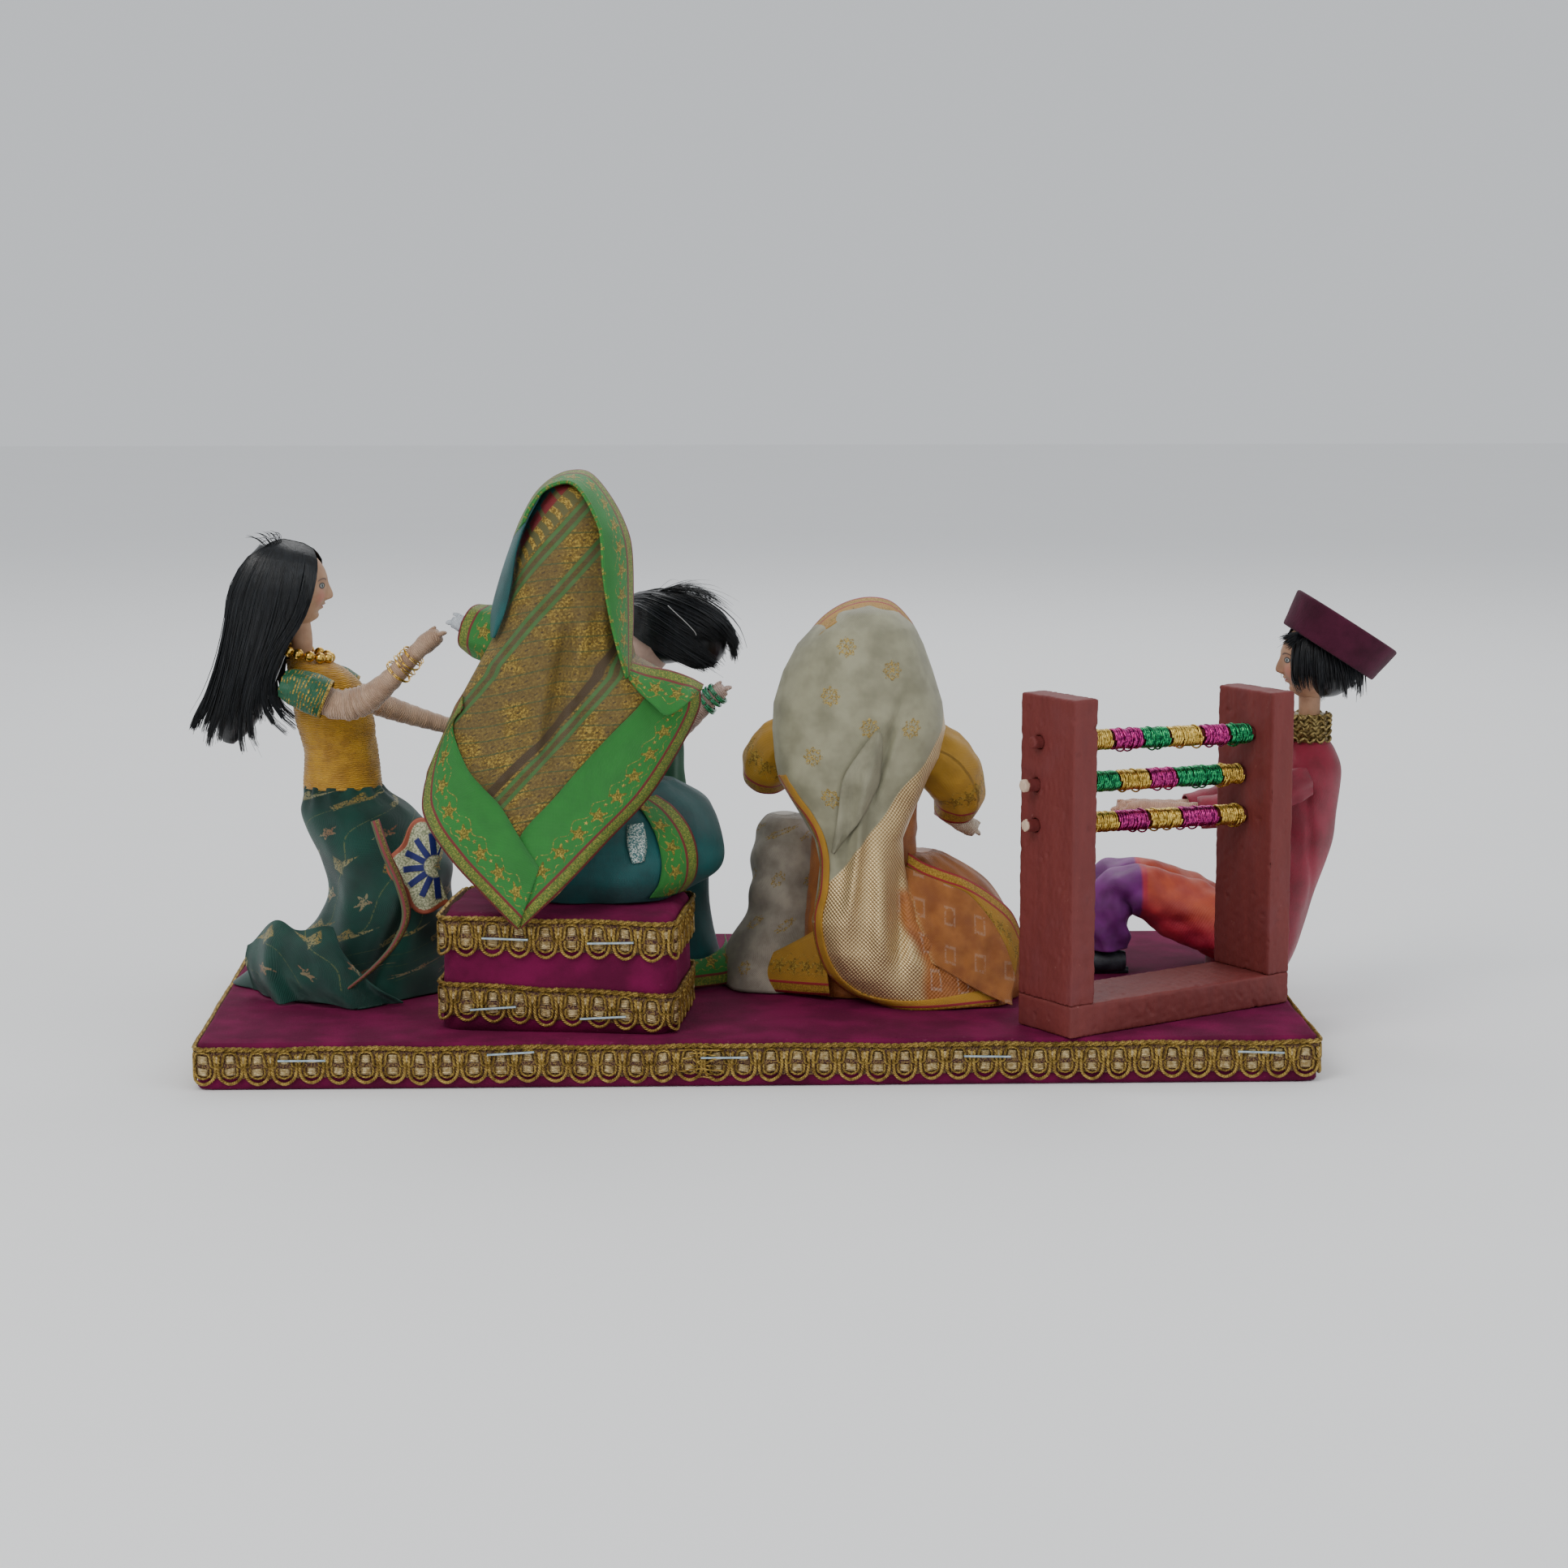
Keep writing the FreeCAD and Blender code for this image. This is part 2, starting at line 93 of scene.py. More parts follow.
class Paint:
    """One node material around a Principled shader."""

    def __init__(self, name):
        self.material = bpy.data.materials.new(name)
        self.material.use_nodes = True
        self.nodes = self.material.node_tree.nodes
        self.links = self.material.node_tree.links
        self.shader = self.nodes["Principled BSDF"]
        self.cache = {}

    def put(self, socket, value):
        if isinstance(value, Value):
            self.links.new(value.socket, socket)
        elif isinstance(value, (tuple, list)) and len(value) == 3 and socket.type == "RGBA":
            socket.default_value = (*value, 1.0)
        else:
            socket.default_value = value

    def node(self, kind, inputs=(), output=0, **settings):
        node = self.nodes.new(kind)
        for key, value in settings.items():
            setattr(node, key, value)
        for key, value in dict(inputs).items():
            self.put(node.inputs[key], value)
        return Value(self, node.outputs[output])

    def math(self, operation, *terms, clamp=False):
        inputs = dict(enumerate(terms))
        return self.node("ShaderNodeMath", inputs, operation=operation, use_clamp=clamp)

    def cloth(self):
        """The cloth's own coordinates (along, across), in millimetres."""
        if "cloth" not in self.cache:
            uv = self.node("ShaderNodeUVMap", uv_map="cloth")
            self.cache["cloth"] = (self.node("ShaderNodeSeparateXYZ", {0: uv}, 0),
                                   self.node("ShaderNodeSeparateXYZ", {0: uv}, 1))
        return self.cache["cloth"]

    def place(self):
        """The point on the object, in metres."""
        if "place" not in self.cache:
            self.cache["place"] = self.node("ShaderNodeTexCoord", output=3)
        return self.cache["place"]

    def axes(self):
        """The point on the object as three numbers, in millimetres."""
        if "axes" not in self.cache:
            self.cache["axes"] = [self.node("ShaderNodeSeparateXYZ", {0: self.place()}, i) * 1000.0
                                  for i in range(3)]
        return self.cache["axes"]

    def noise(self, size_mm, detail=3.0, stretch=None, rough=0.55):
        """Noise from 0 to 1 with features of that size."""
        vector = self.place()
        if stretch:
            vector = self.node("ShaderNodeMapping", {0: vector, 3: stretch})
        scale = 1.0 / (size_mm * MM)
        return self.node("ShaderNodeTexNoise", {"Vector": vector, "Scale": scale, "Detail": detail,
                                                "Roughness": rough})

    def step(self, value, low, high, start=0.0, end=1.0):
        """Smoothly from start at low to end at high."""
        return self.node("ShaderNodeMapRange", {0: value, 1: low, 2: high, 3: start, 4: end},
                         interpolation_type="SMOOTHSTEP")

    def bar(self, value, centre, width, edge=0.12):
        """1 within width of centre."""
        return self.step(abs(value - centre), width / 2 - edge, width / 2 + edge, 1.0, 0.0)

    def cell(self, value, pitch, shift=0.0):
        """The distance from the middle of a repeating cell, in the value's own units."""
        return (self.math("FRACT", value * (1.0 / pitch) + shift) - 0.5) * pitch

    def wave(self, value, pitch):
        return self.math("SINE", value * (2 * math.pi / pitch))

    def mix(self, amount, first, second):
        """First where amount is 0, second where it is 1."""
        node = self.nodes.new("ShaderNodeMix")
        node.data_type = "RGBA"
        self.put(node.inputs[0], amount)
        self.put(node.inputs[6], first)
        self.put(node.inputs[7], second)
        return Value(self, node.outputs[2])

    def shade(self, colour, amount):
        """A colour made darker or lighter by a factor that varies."""
        node = self.nodes.new("ShaderNodeVectorMath")
        node.operation = "SCALE"
        self.put(node.inputs[0], colour)
        self.put(node.inputs["Scale"], amount)
        return Value(self, node.outputs[0])

    def weave(self, pitch):
        """Plain weave height from cloth coordinates, about -1 to 1."""
        along, across = self.cloth()
        return self.wave(along, pitch) * self.wave(across, pitch)

    def finish(self, colour, roughness=0.6, metallic=0.0, bump=None, depth_mm=0.05, strength=1.0, **plain):
        self.put(self.shader.inputs["Base Color"], colour)
        self.put(self.shader.inputs["Roughness"], roughness)
        self.put(self.shader.inputs["Metallic"], metallic)
        for key, value in plain.items():
            socket = self.shader.inputs[key.replace("_", " ")]
            self.put(socket, value)
        if bump is not None:
            normal = self.node("ShaderNodeBump", {"Height": bump, "Distance": depth_mm * MM,
                                                  "Strength": strength})
            self.put(self.shader.inputs["Normal"], normal)
        return self.material


# Geometry helpers --------------------------------------------------------------------------------

def spline(points, count, closed=False):
    """A smooth curve through points at even steps of their index."""
    points = np.asarray(points, float)
    n = len(points)
    if n == 2:
        steps = np.linspace(0, 1, count)[:, None]
        return points[0] * (1 - steps) + points[1] * steps
    span = n if closed else n - 1
    at = np.arange(count) * span / (count if closed else count - 1)
    whole = np.minimum(at.astype(int), span - 1)
    t = (at - whole)[:, None]
    index = [(whole + k) % n if closed else np.clip(whole + k, 0, n - 1) for k in (-1, 0, 1, 2)]
    a, b, c, d = (points[i] for i in index)
    if not closed:
        first, last = (whole == 0)[:, None], (whole == span - 1)[:, None]
        a = np.where(first, 2 * points[0] - points[1], a)
        d = np.where(last, 2 * points[-1] - points[-2], d)
    return 0.5 * (2 * b + (c - a) * t + (2 * a - 5 * b + 4 * c - d) * t ** 2
                  + (3 * b - a - 3 * c + d) * t ** 3)


def surface(rows, along, across, closed=False):
    """A smooth grid of points, along by across, through rows of points given from edge to edge."""
    rows = [spline(row, across, closed) for row in rows]
    flat = spline(np.array(rows).reshape(len(rows), -1), along)
    return flat.reshape(along, across, 3)


def lengths(grid, axis):
    """Distance walked along one axis of a grid of points, from 0."""
    steps = np.linalg.norm(np.diff(grid, axis=axis), axis=2)
    start = np.zeros_like(np.take(steps, [0], axis=axis))
    return np.concatenate([start, np.cumsum(steps, axis=axis)], axis=axis)


def grid_faces(rows, columns, closed=False, first=0):
    faces = []
    for i in range(rows - 1):
        for j in range(columns if closed else columns - 1):
            k = (j + 1) % columns
            faces.append((first + i * columns + j, first + i * columns + k,
                          first + (i + 1) * columns + k, first + (i + 1) * columns + j))
    return faces


def piece(name, points, faces, material, body, slot=None, cloth=None, smooth=True):
    """A mesh piece from points in millimetres. cloth gives each point's cloth coordinates."""
    mesh = bpy.data.meshes.new(name)
    mesh.from_pydata((np.asarray(points, float) * MM).tolist(), [], faces)
    if cloth is not None:
        layer = mesh.uv_layers.new(name="cloth")
        corners = np.empty(len(mesh.loops), dtype=np.int32)
        mesh.loops.foreach_get("vertex_index", corners)
        layer.data.foreach_set("uv", np.asarray(cloth, np.float32)[corners].ravel())
    mesh.polygons.foreach_set("use_smooth", [smooth] * len(mesh.polygons))
    mesh.materials.append(material)
    mesh.update()
    thing = bpy.data.objects.new(name, mesh)
    bpy.context.scene.collection.objects.link(thing)
    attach(thing, body)
    return thing


def tube(path, radius, sides=8, capped=True):
    """Points and faces of a tube along a path; radius is a number or one for each point."""
    path = np.asarray(path, float)
    radius = np.broadcast_to(radius, (len(path),))
    along = np.gradient(path, axis=0)
    along /= np.maximum(np.linalg.norm(along, axis=1, keepdims=True), 1e-9)
    side = np.cross(along[0], (0.0, 0.0, 1.0))
    if np.linalg.norm(side) < 1e-3:
        side = np.cross(along[0], (0.0, 1.0, 0.0))
    frames = []
    for direction in along:
        side = side - direction * (side @ direction)
        side /= np.linalg.norm(side)
        frames.append((side, np.cross(direction, side)))
    turn = np.arange(sides) * 2 * math.pi / sides
    points = np.concatenate([p + r * (np.cos(turn)[:, None] * s + np.sin(turn)[:, None] * t)
                             for p, r, (s, t) in zip(path, radius, frames)])
    faces = grid_faces(len(path), sides, closed=True)
    if capped:
        faces.append(tuple(range(sides - 1, -1, -1)))
        faces.append(tuple(range((len(path) - 1) * sides, len(path) * sides)))
    return points, faces


def gather(parts):
    """Joins (points, faces) pairs into one."""
    points, faces, first = [], [], 0
    for some_points, some_faces in parts:
        points.append(np.asarray(some_points, float))
        faces += [tuple(i + first for i in face) for face in some_faces]
        first += len(some_points)
    return np.concatenate(points), faces


def egg(centre, radii, rings=24, sides=32):
    """Points and faces of an ellipsoid with rings from its foot to its crown."""
    points = []
    for i in range(rings + 1):
        lift = math.pi * (i / rings - 0.5)
        for j in range(sides):
            turn = 2 * math.pi * j / sides
            points.append((math.cos(lift) * math.cos(turn), math.cos(lift) * math.sin(turn), math.sin(lift)))
    points = np.array(points) * np.array(radii) + np.array(centre)
    return points, grid_faces(rings + 1, sides, closed=True)


def thicken(thing, thickness_mm, offset=-1.0):
    solid = thing.modifiers.new("thickness", "SOLIDIFY")
    solid.thickness = thickness_mm * MM
    solid.offset = offset
    return thing


def soft_noise(points, size_mm, seed=0):
    """Smooth noise from about -1 to 1 at each point, the same every run."""
    chooser = np.random.default_rng(seed)
    total = np.zeros(points.shape[:-1])
    for _ in range(12):
        direction = chooser.normal(size=3)
        direction /= np.linalg.norm(direction)
        frequency = 2 * math.pi / (size_mm * chooser.uniform(0.7, 1.6))
        total += np.sin(points @ direction * frequency + chooser.uniform(0, 2 * math.pi))
    return total / 4.0


# Camera, light and floor -------------------------------------------------------------------------

CAMERA_PLACE = (-22.3, -961.6, 223.3)
CAMERA_DOWN = 8.99
CAMERA_ASIDE = 1.85
CAMERA_LENS = 77.2


def area_light(name, place, target, size, power, colour):
    data = bpy.data.lights.new(name, "AREA")
    data.shape = "DISK"
    data.size = size
    data.energy = power
    data.color = colour
    lamp = bpy.data.objects.new(name, data)
    lamp.location = place
    lamp.rotation_euler = (Vector(target) - Vector(place)).to_track_quat("-Z", "Y").to_euler()
    bpy.context.scene.collection.objects.link(lamp)


def make_studio():
    data = bpy.data.cameras.new("camera")
    data.lens = CAMERA_LENS
    data.sensor_width = 36.0
    data.clip_start = 0.01
    camera = bpy.data.objects.new("camera", data)
    camera.location = [c * MM for c in CAMERA_PLACE]
    camera.rotation_euler = (math.radians(90 - CAMERA_DOWN), 0.0, math.radians(-CAMERA_ASIDE))
    bpy.context.scene.collection.objects.link(camera)
    bpy.context.scene.camera = camera

    world = bpy.data.worlds.new("studio")
    world.use_nodes = True
    world.node_tree.nodes["Background"].inputs["Color"].default_value = (0.93, 0.96, 1.0, 1.0)
    world.node_tree.nodes["Background"].inputs["Strength"].default_value = 0.75
    bpy.context.scene.world = world
    area_light("key", (-0.55, -0.75, 0.95), (0.0, 0.0, 0.05), 0.7, 6.5, (1.0, 0.98, 0.95))
    area_light("fill", (0.85, -0.5, 0.6), (0.0, 0.0, 0.05), 0.8, 2.5, (0.93, 0.97, 1.0))
    area_light("rear", (0.1, 0.9, 0.9), (0.0, 0.0, 0.05), 0.9, 4.0, (1.0, 1.0, 1.0))

    paint = Paint("pale_floor")
    shade = paint.noise(60.0) * 0.02 + 0.9
    colour = paint.node("ShaderNodeCombineColor", {0: shade, 1: shade, 2: shade})
    floor_material = paint.finish(colour, roughness=0.9)
    mesh = bpy.data.meshes.new("floor")
    half = 3.0
    corners = [(-half, -half, 0), (half, -half, 0), (half, half, 0), (-half, half, 0)]
    mesh.from_pydata([(x, y, -0.0004) for x, y, _ in corners], [], [(0, 1, 2, 3)])
    mesh.materials.append(floor_material)
    floor = bpy.data.objects.new("floor", mesh)
    bpy.context.scene.collection.objects.link(floor)


# Materials ---------------------------------------------------------------------------------------

def velvet_material():
    paint = Paint("magenta_velvet")
    pile = paint.noise(0.5, detail=2.0)
    nap = paint.noise(14.0, detail=4.0)
    lint = paint.step(paint.noise(1.6, detail=1.0), 0.74, 0.78)
    deep = paint.mix(paint.step(nap, 0.35, 0.7), (0.085, 0.001, 0.026), (0.155, 0.002, 0.048))
    colour = paint.mix(lint * 0.2, deep, (0.26, 0.06, 0.13))
    return paint.finish(colour, roughness=0.85, bump=pile + nap * 0.4, depth_mm=0.12, Sheen_Weight=0.12,
                        Sheen_Roughness=0.35, Sheen_Tint=(0.7, 0.05, 0.3, 1.0), Specular_IOR_Level=0.2)


def lace_cord_material():
    paint = Paint("lace_gold_cord")
    along, across = paint.cloth()
    twist = paint.wave(along + across * 0.8, 0.5)
    tone = paint.step(paint.noise(1.5), 0.3, 0.7)
    colour = paint.mix(tone, (0.20, 0.115, 0.022), (0.52, 0.35, 0.085))
    return paint.finish(colour, roughness=0.42, metallic=0.65, bump=twist, depth_mm=0.09)


def lace_block_material():
    paint = Paint("lace_flat_gold")
    along = paint.cloth()[0]
    ribs = paint.wave(along + paint.noise(0.8) * 0.3, 0.42)
    tone = paint.step(paint.noise(1.1), 0.35, 0.65)
    colour = paint.mix(tone, (0.38, 0.26, 0.10), (0.66, 0.52, 0.28))
    return paint.finish(colour, roughness=0.36, metallic=0.7, bump=ribs, depth_mm=0.1)


def lace_net_material():
    paint = Paint("lace_net")
    grain = paint.noise(0.45, detail=1.0)
    colour = paint.mix(paint.step(grain, 0.4, 0.62), (0.055, 0.012, 0.015), (0.26, 0.16, 0.05))
    return paint.finish(colour, roughness=0.7, metallic=0.2, bump=grain, depth_mm=0.15)


def staple_material():
    paint = Paint("staple_steel")
    tone = paint.step(paint.noise(1.4), 0.3, 0.7)
    colour = paint.mix(tone, (0.30, 0.40, 0.47), (0.52, 0.62, 0.68))
    return paint.finish(colour, roughness=paint.noise(0.9) * 0.2 + 0.22, metallic=0.9)


def painted_wood_material(name, bare_axis=None, bare_start=None):
    """Red brown matt paint on wood. A dowel's sawn end is bare past bare_start along bare_axis."""
    paint = Paint(name)
    streak = paint.noise(3.0, detail=5.0, stretch=(1.0, 1.0, 0.12))
    blotch = paint.noise(16.0, detail=3.0)
    colour = paint.mix(streak, (0.115, 0.017, 0.016), (0.185, 0.033, 0.029))
    colour = paint.mix(paint.step(blotch, 0.5, 0.75) * 0.5, colour, (0.15, 0.035, 0.038))
    scuff = paint.step(paint.noise(2.2, detail=4.0), 0.70, 0.76)
    colour = paint.mix(scuff * 0.35, colour, (0.33, 0.14, 0.12))
    if bare_axis is not None:
        x, y, z = paint.axes()
        along = x * bare_axis[0] + y * bare_axis[1] + z * bare_axis[2]
        edge = along + paint.noise(1.2) * 1.4
        colour = paint.mix(paint.step(edge, bare_start - 0.5, bare_start + 0.1, 1.0, 0.0), colour,
                           (0.62, 0.45, 0.33))
    return paint.finish(colour, roughness=0.62, bump=streak + blotch * 0.5, depth_mm=0.16,
                        Specular_IOR_Level=0.35)


def wire_material(name, dark, bright):
    paint = Paint(name)
    tone = paint.step(paint.noise(0.9, detail=2.0), 0.35, 0.65)
    return paint.finish(paint.mix(tone, dark, bright), roughness=paint.noise(0.7) * 0.15 + 0.2,
                        metallic=0.95)


# Base board, seat and their lace -----------------------------------------------------------------

def rounded_path(x0, y0, x1, y1, radius, step):
    """Points every step or so round a rounded rectangle, from the middle of its near side."""
    corners = [(x1 - radius, y0 + radius, -90), (x1 - radius, y1 - radius, 0),
               (x0 + radius, y1 - radius, 90), (x0 + radius, y0 + radius, 180)]
    rough = [((x0 + x1) / 2, y0)]
    for cx, cy, start in corners:
        for i in range(7):
            turn = math.radians(start + i * 15)
            rough.append((cx + radius * math.cos(turn), cy + radius * math.sin(turn)))
    rough.append(rough[0])
    rough = np.array(rough)
    walked = np.concatenate([[0], np.cumsum(np.linalg.norm(np.diff(rough, axis=0), axis=1))])
    count = int(round(walked[-1] / step))
    at = np.linspace(0, walked[-1], count + 1)
    return np.stack([np.interp(at, walked, rough[:, 0]), np.interp(at, walked, rough[:, 1])],
                    axis=1), walked[-1]


def velvet_block(name, node, body, slot, material, corner, yaw, size, radius, sag, seed):
    """A cloth covered block: rounded edges, slightly uneven faces and pinched corners."""
    length, depth, height = size
    rows = []
    profile = []
    for i in range(7):
        turn = math.radians(i * 15)
        profile.append((radius - radius * math.sin(turn), radius - radius * math.cos(turn)))
    levels = [(0.0, z) for z in np.linspace(0.0, height - radius, 9)]
    levels += [(inset_out, height - radius + rise) for inset_out, rise in
               [(radius - radius * math.cos(math.radians(t)), radius * math.sin(math.radians(t)))
                for t in range(15, 91, 15)]]
    for inset, z in levels:
        path, _ = rounded_path(inset, inset, length - inset, depth - inset, max(radius * 2.2 - inset, 0.6),
                               2.0)
        at = np.linspace(0, 1, 260, endpoint=False) * (len(path) - 1)
        x = np.interp(at, np.arange(len(path)), path[:, 0])
        y = np.interp(at, np.arange(len(path)), path[:, 1])
        rows.append(np.stack([x, y, np.full_like(x, z)], axis=1))
    top = rows[-1]
    middle_of_top = top.mean(axis=0)
    for share in (0.8, 0.6, 0.4, 0.2, 0.02):
        rows.append(middle_of_top + (top - middle_of_top) * share)
    grid = np.array(rows)
    bumps = soft_noise(grid, 22.0, seed) * sag + soft_noise(grid, 7.0, seed + 1) * sag * 0.35
    away = grid - np.array([length / 2, depth / 2, height / 2])
    away /= np.array([length, depth, height])
    away /= np.linalg.norm(away, axis=2, keepdims=True)
    rise = np.clip(grid[:, :, 2:3] / height, 0, 1)
    grid = grid + away * (bumps[:, :, None] - sag) * rise
    turn = math.radians(yaw)
    x, y = grid[:, :, 0].copy(), grid[:, :, 1].copy()
    grid[:, :, 0] = corner[0] + x * math.cos(turn) - y * math.sin(turn)
    grid[:, :, 1] = corner[1] + x * math.sin(turn) + y * math.cos(turn)
    grid[:, :, 2] += corner[2]
    faces = grid_faces(len(rows), 260, closed=True)
    faces.append(tuple(range(259, -1, -1)))
    faces.append(tuple(range((len(rows) - 1) * 260, len(rows) * 260)))
    thing = piece(name, grid.reshape(-1, 3), faces, material, body, slot)
    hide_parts(*node)
    return thing


def lace_unit(height, pitch):
    """Cord paths and flat blocks of one repeat, as (along, up, out, radius) and (centre, width, height)."""
    u = pitch
    cords = []
    t = np.linspace(0, 1, 12)
    cords.append(("braid", np.stack([t * u, height - 0.9 + 0.38 * np.sin(t * 4 * math.pi),
                                     0.75 + 0.25 * np.cos(t * 4 * math.pi)], axis=1), 0.42))
    cords.append(("braid", np.stack([t * u, height - 0.9 - 0.38 * np.sin(t * 4 * math.pi),
                                     0.75 - 0.25 * np.cos(t * 4 * math.pi)], axis=1), 0.42))
    low, high = height * 0.50, height * 0.80
    zig = [(0.0, low), (0.2, low), (0.3, high), (0.7, high), (0.8, low), (1.0, low)]
    cords.append(("cord", np.array([(a * u, b, 0.85) for a, b in
                                    spline([(a, b, 0.0) for a, b in zig], 16)[:, :2]]), 0.36))
    loop = [(0.10, high * 0.98), (0.06, height * 0.42), (0.16, height * 0.17), (0.5, height * 0.05),
            (0.84, height * 0.17), (0.94, height * 0.42), (0.90, high * 0.98)]
    cords.append(("cord", np.array([(a * u, b, 0.7) for a, b in
                                    spline([(a, b, 0.0) for a, b in loop], 20)[:, :2]]), 0.46))
    inner = [(0.24, height * 0.46), (0.25, height * 0.28), (0.5, height * 0.19), (0.75, height * 0.28),
             (0.76, height * 0.46)]
    cords.append(("cord", np.array([(a * u, b, 0.62) for a, b in
                                    spline([(a, b, 0.0) for a, b in inner], 12)[:, :2]]), 0.30))
    blocks = [((0.5 * u, height * 0.665), u * 0.34, height * 0.20), ((0.0, height * 0.665), u * 0.26,
                                                                     height * 0.17), ((0.5 * u,
                                                                                       height * 0.36),
                                                                                      u * 0.36,
                                                                                      height * 0.17)]
    return cords, blocks


def lace_band(name, node, body, slot, place_at, total, height, materials, seed=0):
    """place_at(along, up, out) puts band coordinates in the frame; total is its length in mm."""
    cord_material, block_material, net_material = materials
    pitch = total / max(round(total / 7.3), 1)
    cords, blocks = lace_unit(height, pitch)
    chooser = random.Random(seed)
    cord_parts, block_parts, cord_cloth, block_cloth = [], [], [], []
    for k in range(int(round(total / pitch))):
        shift = np.array([k * pitch, chooser.uniform(-0.12, 0.12), 0.0])
        squeeze = chooser.uniform(0.94, 1.05)
        for kind, path, radius in cords:
            line = path.copy()
            if kind == "cord":
                line[:, 0] = (line[:, 0] - pitch / 2) * squeeze + pitch / 2
                line[:, 1] += chooser.uniform(-0.12, 0.12)
                line[:, 2] += chooser.uniform(-0.08, 0.12)
            line = line + (shift if kind == "cord" else np.array([k * pitch, 0.0, 0.0]))
            world = np.array([place_at(*p) for p in line])
            points, faces = tube(world, radius, 6)
            cord_parts.append((points, faces))
            cord_cloth += [(i // 6 * radius * 1.4, i % 6 * 0.4) for i in range(len(points))]
        for (along, up), width, tall in blocks:
            lean = chooser.uniform(-0.18, 0.18)
            wide = width * chooser.uniform(0.9, 1.1)
            corners = []
            for i in range(5):
                across = (i / 4 - 0.5) * wide
                puff = 0.3 * (1 - (i / 2 - 1) ** 2)
                for end in (-0.5, 0.5):
                    corners.append((along + k * pitch + across, up + end * tall + across * lean, 0.45 + puff))
            rows = np.array([place_at(*p) for p in corners])
            block_parts.append((rows, grid_faces(5, 2)))
            block_cloth += [(i % 2 * tall, i // 2 * wide / 4) for i in range(len(rows))]
    things = []
    points, faces = gather(cord_parts)
    things.append(piece(name + "_cord", points, faces, cord_material, body, slot, cord_cloth))
    points, faces = gather(block_parts)
    block_piece = piece(name + "_flats", points, faces, block_material, body, slot, block_cloth)
    thicken(block_piece, 0.25)
    things.append(block_piece)
    steps = int(total / 2.4)
    rows = [[place_at(i / steps * total, up,
                      0.18) for up in (height * 0.16 + 0.6 * abs(math.sin(math.pi * i / steps * total
                                                                          / pitch)), height * 0.5,
                                       height - 0.6)] for i in range(steps + 1)]
    net = piece(name + "_net", np.array(rows).reshape(-1, 3), grid_faces(steps + 1, 3), net_material, body,
                slot)
    thicken(net, 0.3)
    for thing in things + [net]:
        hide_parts(node)
    return things


def make_base():
    velvet = velvet_material()
    lace = (lace_cord_material(), lace_block_material(), lace_net_material())
    low, high = box_of("base_velvet")
    velvet_block("base_velvet_cover", ("base_velvet", "base_board"), "tableau", "velvet", velvet, (low[0],
                                                                                                   low[1],
                                                                                                   0.0), 0.0,
                 (high[0] - low[0], high[1] - low[1], high[2]), 1.6, 0.12, 3)
    x0, y0, x1, y1 = low[0] + 0.1, low[1] + 0.1, high[0] - 0.1, high[1] - 0.1
    path, total = rounded_path(x0, y0, x1, y1, 2.6, 0.8)
    walked = np.linspace(0, total, len(path))

    def on_board(along, up, out):
        s = (along - 15.5 + 500 * total) % total
        x, y = np.interp(s, walked, path[:, 0]), np.interp(s, walked, path[:, 1])
        ahead, behind = (s + 0.6) % total, (s - 0.6) % total
        dx = np.interp(ahead, walked, path[:, 0]) - np.interp(behind, walked, path[:, 0])
        dy = np.interp(ahead, walked, path[:, 1]) - np.interp(behind, walked, path[:, 1])
        size = math.hypot(dx, dy) or 1.0
        wobble = 0.15 * math.sin(s * 0.13) + 0.1 * math.sin(s * 0.31)
        return x + dy / size * out, y - dx / size * out, 0.9 + up * 0.98 + wobble

    lace_band("base_lace_zari", "base_lace", "tableau", "gold_lace", on_board, total, 11.2, lace, seed=5)
    make_lace_end(on_board, lace)

    corner, yaw = (-87.8, -57.9, 12.5), -7.1
    seat_length, seat_depth, seat_height = 65.0, 45.0, 32.7
    velvet_block("seat_velvet_cover", ("seat_velvet", "seat_block"), "tableau", "velvet", velvet, corner, yaw,
                 (seat_length, seat_depth, seat_height), 3.2, 0.45, 11)
    turn = math.radians(yaw)
    seat_path, seat_total = rounded_path(0.2, 0.2, seat_length - 0.2, seat_depth - 0.2, 4.0, 0.8)
    seat_walked = np.linspace(0, seat_total, len(seat_path))

    def on_seat(foot, slope):
        def at(along, up, out):
            s = (along - 21.0 + 500 * seat_total) % seat_total
            x, y = np.interp(s, seat_walked, seat_path[:, 0]), np.interp(s, seat_walked, seat_path[:, 1])
            ahead, behind = (s + 0.8) % seat_total, (s - 0.8) % seat_total
            dx = np.interp(ahead, seat_walked, seat_path[:, 0]) - np.interp(behind, seat_walked, seat_path[:,
                                                                                                           0])
            dy = np.interp(ahead, seat_walked, seat_path[:, 1]) - np.interp(behind, seat_walked, seat_path[:,
                                                                                                           1])
            size = math.hypot(dx, dy) or 1.0
            px, py = x + dy / size * out, y - dx / size * out
            slant = slope * (px / seat_length - 0.5)
            return (corner[0] + px * math.cos(turn) - py * math.sin(turn),
                    corner[1] + px * math.sin(turn) + py * math.cos(turn),
                    corner[2] + foot + up + slant + 0.2 * math.sin(s * 0.17))
        return at

    lace_band("seat_upper_lace", "seat_lace", "tableau", "gold_lace", on_seat(20.3, -0.6), seat_total, 11.6,
              lace, seed=8)
    lace_band("seat_lower_lace", "seat_lace", "tableau", "gold_lace", on_seat(1.4, -2.2), seat_total, 11.4,
              lace, seed=9)
    dress_node("staples", staple_material())


